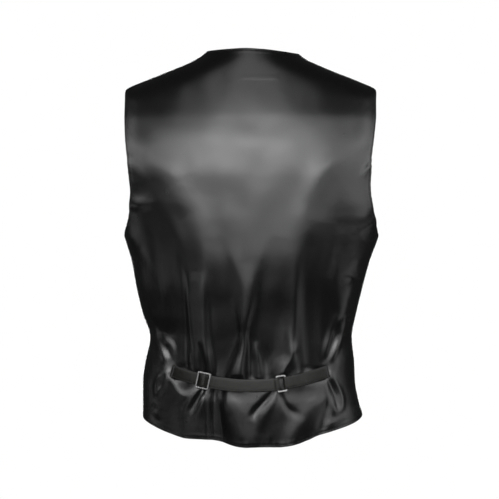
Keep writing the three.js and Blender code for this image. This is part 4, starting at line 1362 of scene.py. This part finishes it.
def make_soft_box(name, azimuth, elevation, wide, tall, radiance):
    data = bpy.data.lights.new(name, "AREA")
    data.shape = "RECTANGLE"
    distance = LOW_LIGHT_DISTANCE if elevation < LOW_LIGHT_ELEVATION else LIGHT_DISTANCE
    data.size = 2 * distance * math.tan(math.radians(wide / 2))
    data.size_y = 2 * distance * math.tan(math.radians(tall / 2))
    data.energy = radiance * math.pi * data.size * data.size_y
    light = bpy.data.objects.new(name, data)
    target = Vector(LIT_POINT)
    light.location = target + bearing(azimuth, elevation) * distance
    light.rotation_euler = (target - light.location).to_track_quat("-Z", "Y").to_euler()
    light.visible_camera = False
    bpy.context.scene.collection.objects.link(light)


def make_lights():
    """A bright band above the camera, softer boxes over and under it, and one for the fronts."""
    for row in SOFT_BOXES:
        make_soft_box(*row)


def make_world():
    """Plain white behind the object, and a dim even light on it."""
    world = bpy.data.worlds.new("studio")
    bpy.context.scene.world = world
    world.use_nodes = True
    tree = world.node_tree
    tree.nodes.clear()
    output = tree.nodes.new("ShaderNodeOutputWorld")
    seen = node(tree, "ShaderNodeBackground", Color=(1, 1, 1, 1), Strength=1.0)
    cast = node(tree, "ShaderNodeBackground", Color=(1, 1, 1, 1), Strength=EVEN_LIGHT)
    path = tree.nodes.new("ShaderNodeLightPath")
    mix = tree.nodes.new("ShaderNodeMixShader")
    tree.links.new(path.outputs["Is Camera Ray"], mix.inputs[0])
    tree.links.new(cast.outputs[0], mix.inputs[1])
    tree.links.new(seen.outputs[0], mix.inputs[2])
    tree.links.new(mix.outputs[0], output.inputs["Surface"])


def make_floor():
    """A plain pale floor under the object, out of its glossy reflections."""
    steps = np.linspace(-FLOOR_HALF_SIZE, FLOOR_HALF_SIZE, 15)
    x, y = np.meshgrid(steps, steps)
    points = np.stack([x, y, np.full_like(x, FLOOR_LEVEL)], axis=-1).reshape(-1, 3)
    floor = mesh_object("floor", points, grid_quads(15, 15).tolist(), [floor_material()])
    floor.visible_glossy = False


def make_camera():
    """The photograph's view: straight at the back, from 3 m."""
    data = bpy.data.cameras.new("camera")
    data.sensor_width = CAMERA_SENSOR
    data.lens = CAMERA_LENS
    camera = bpy.data.objects.new("camera", data)
    camera.location = (CAMERA_ACROSS, -CAMERA_DISTANCE, CAMERA_HEIGHT)
    camera.rotation_euler = (math.pi / 2, 0, 0)
    bpy.context.scene.collection.objects.link(camera)
    bpy.context.scene.camera = camera


def main():
    satin = satin_material("black_satin", (0.002, 0.002, 0.0021), 0.26, 0.35, 0.0003)
    lining = satin_material("lining_satin", (0.012, 0.012, 0.013), 0.4, 0.4, 0.0005)
    strap_satin = satin_material("strap_satin", (0.004, 0.004, 0.0034), 0.26, 0.5, 0.0003, 0.26)
    suiting = suiting_material()
    metal = metal_material()
    button = button_material()
    thread = thread_material()
    make_back(satin, thread)
    make_front("front_left_suiting", False, suiting, lining, thread)
    make_front("front_right_suiting", True, suiting, lining, thread)
    make_strap("strap_long_satin", "strap_long", long_strap_route(), 3, strap_satin, thread)
    make_strap("strap_short_satin", "strap_short", short_strap_route(), 4, strap_satin, thread)
    make_strap_ends(thread)
    make_frame_piece("slider", SLIDER_LENGTH, 3, SLIDER_CENTRE, SLIDER_OUT, metal)
    make_frame_piece("ring", RING_LENGTH, 2, RING_CENTRE, RING_OUT, metal)
    for i in range(BUTTON_COUNT):
        make_button(i + 1, TOP_BUTTON - i * BUTTON_SPACING, button, thread)
    make_buttonholes(thread)
    make_lights()
    make_world()
    make_floor()
    make_camera()
    bpy.context.scene.view_settings.view_transform = "Standard"


main()
bpy.context.view_layer.update()
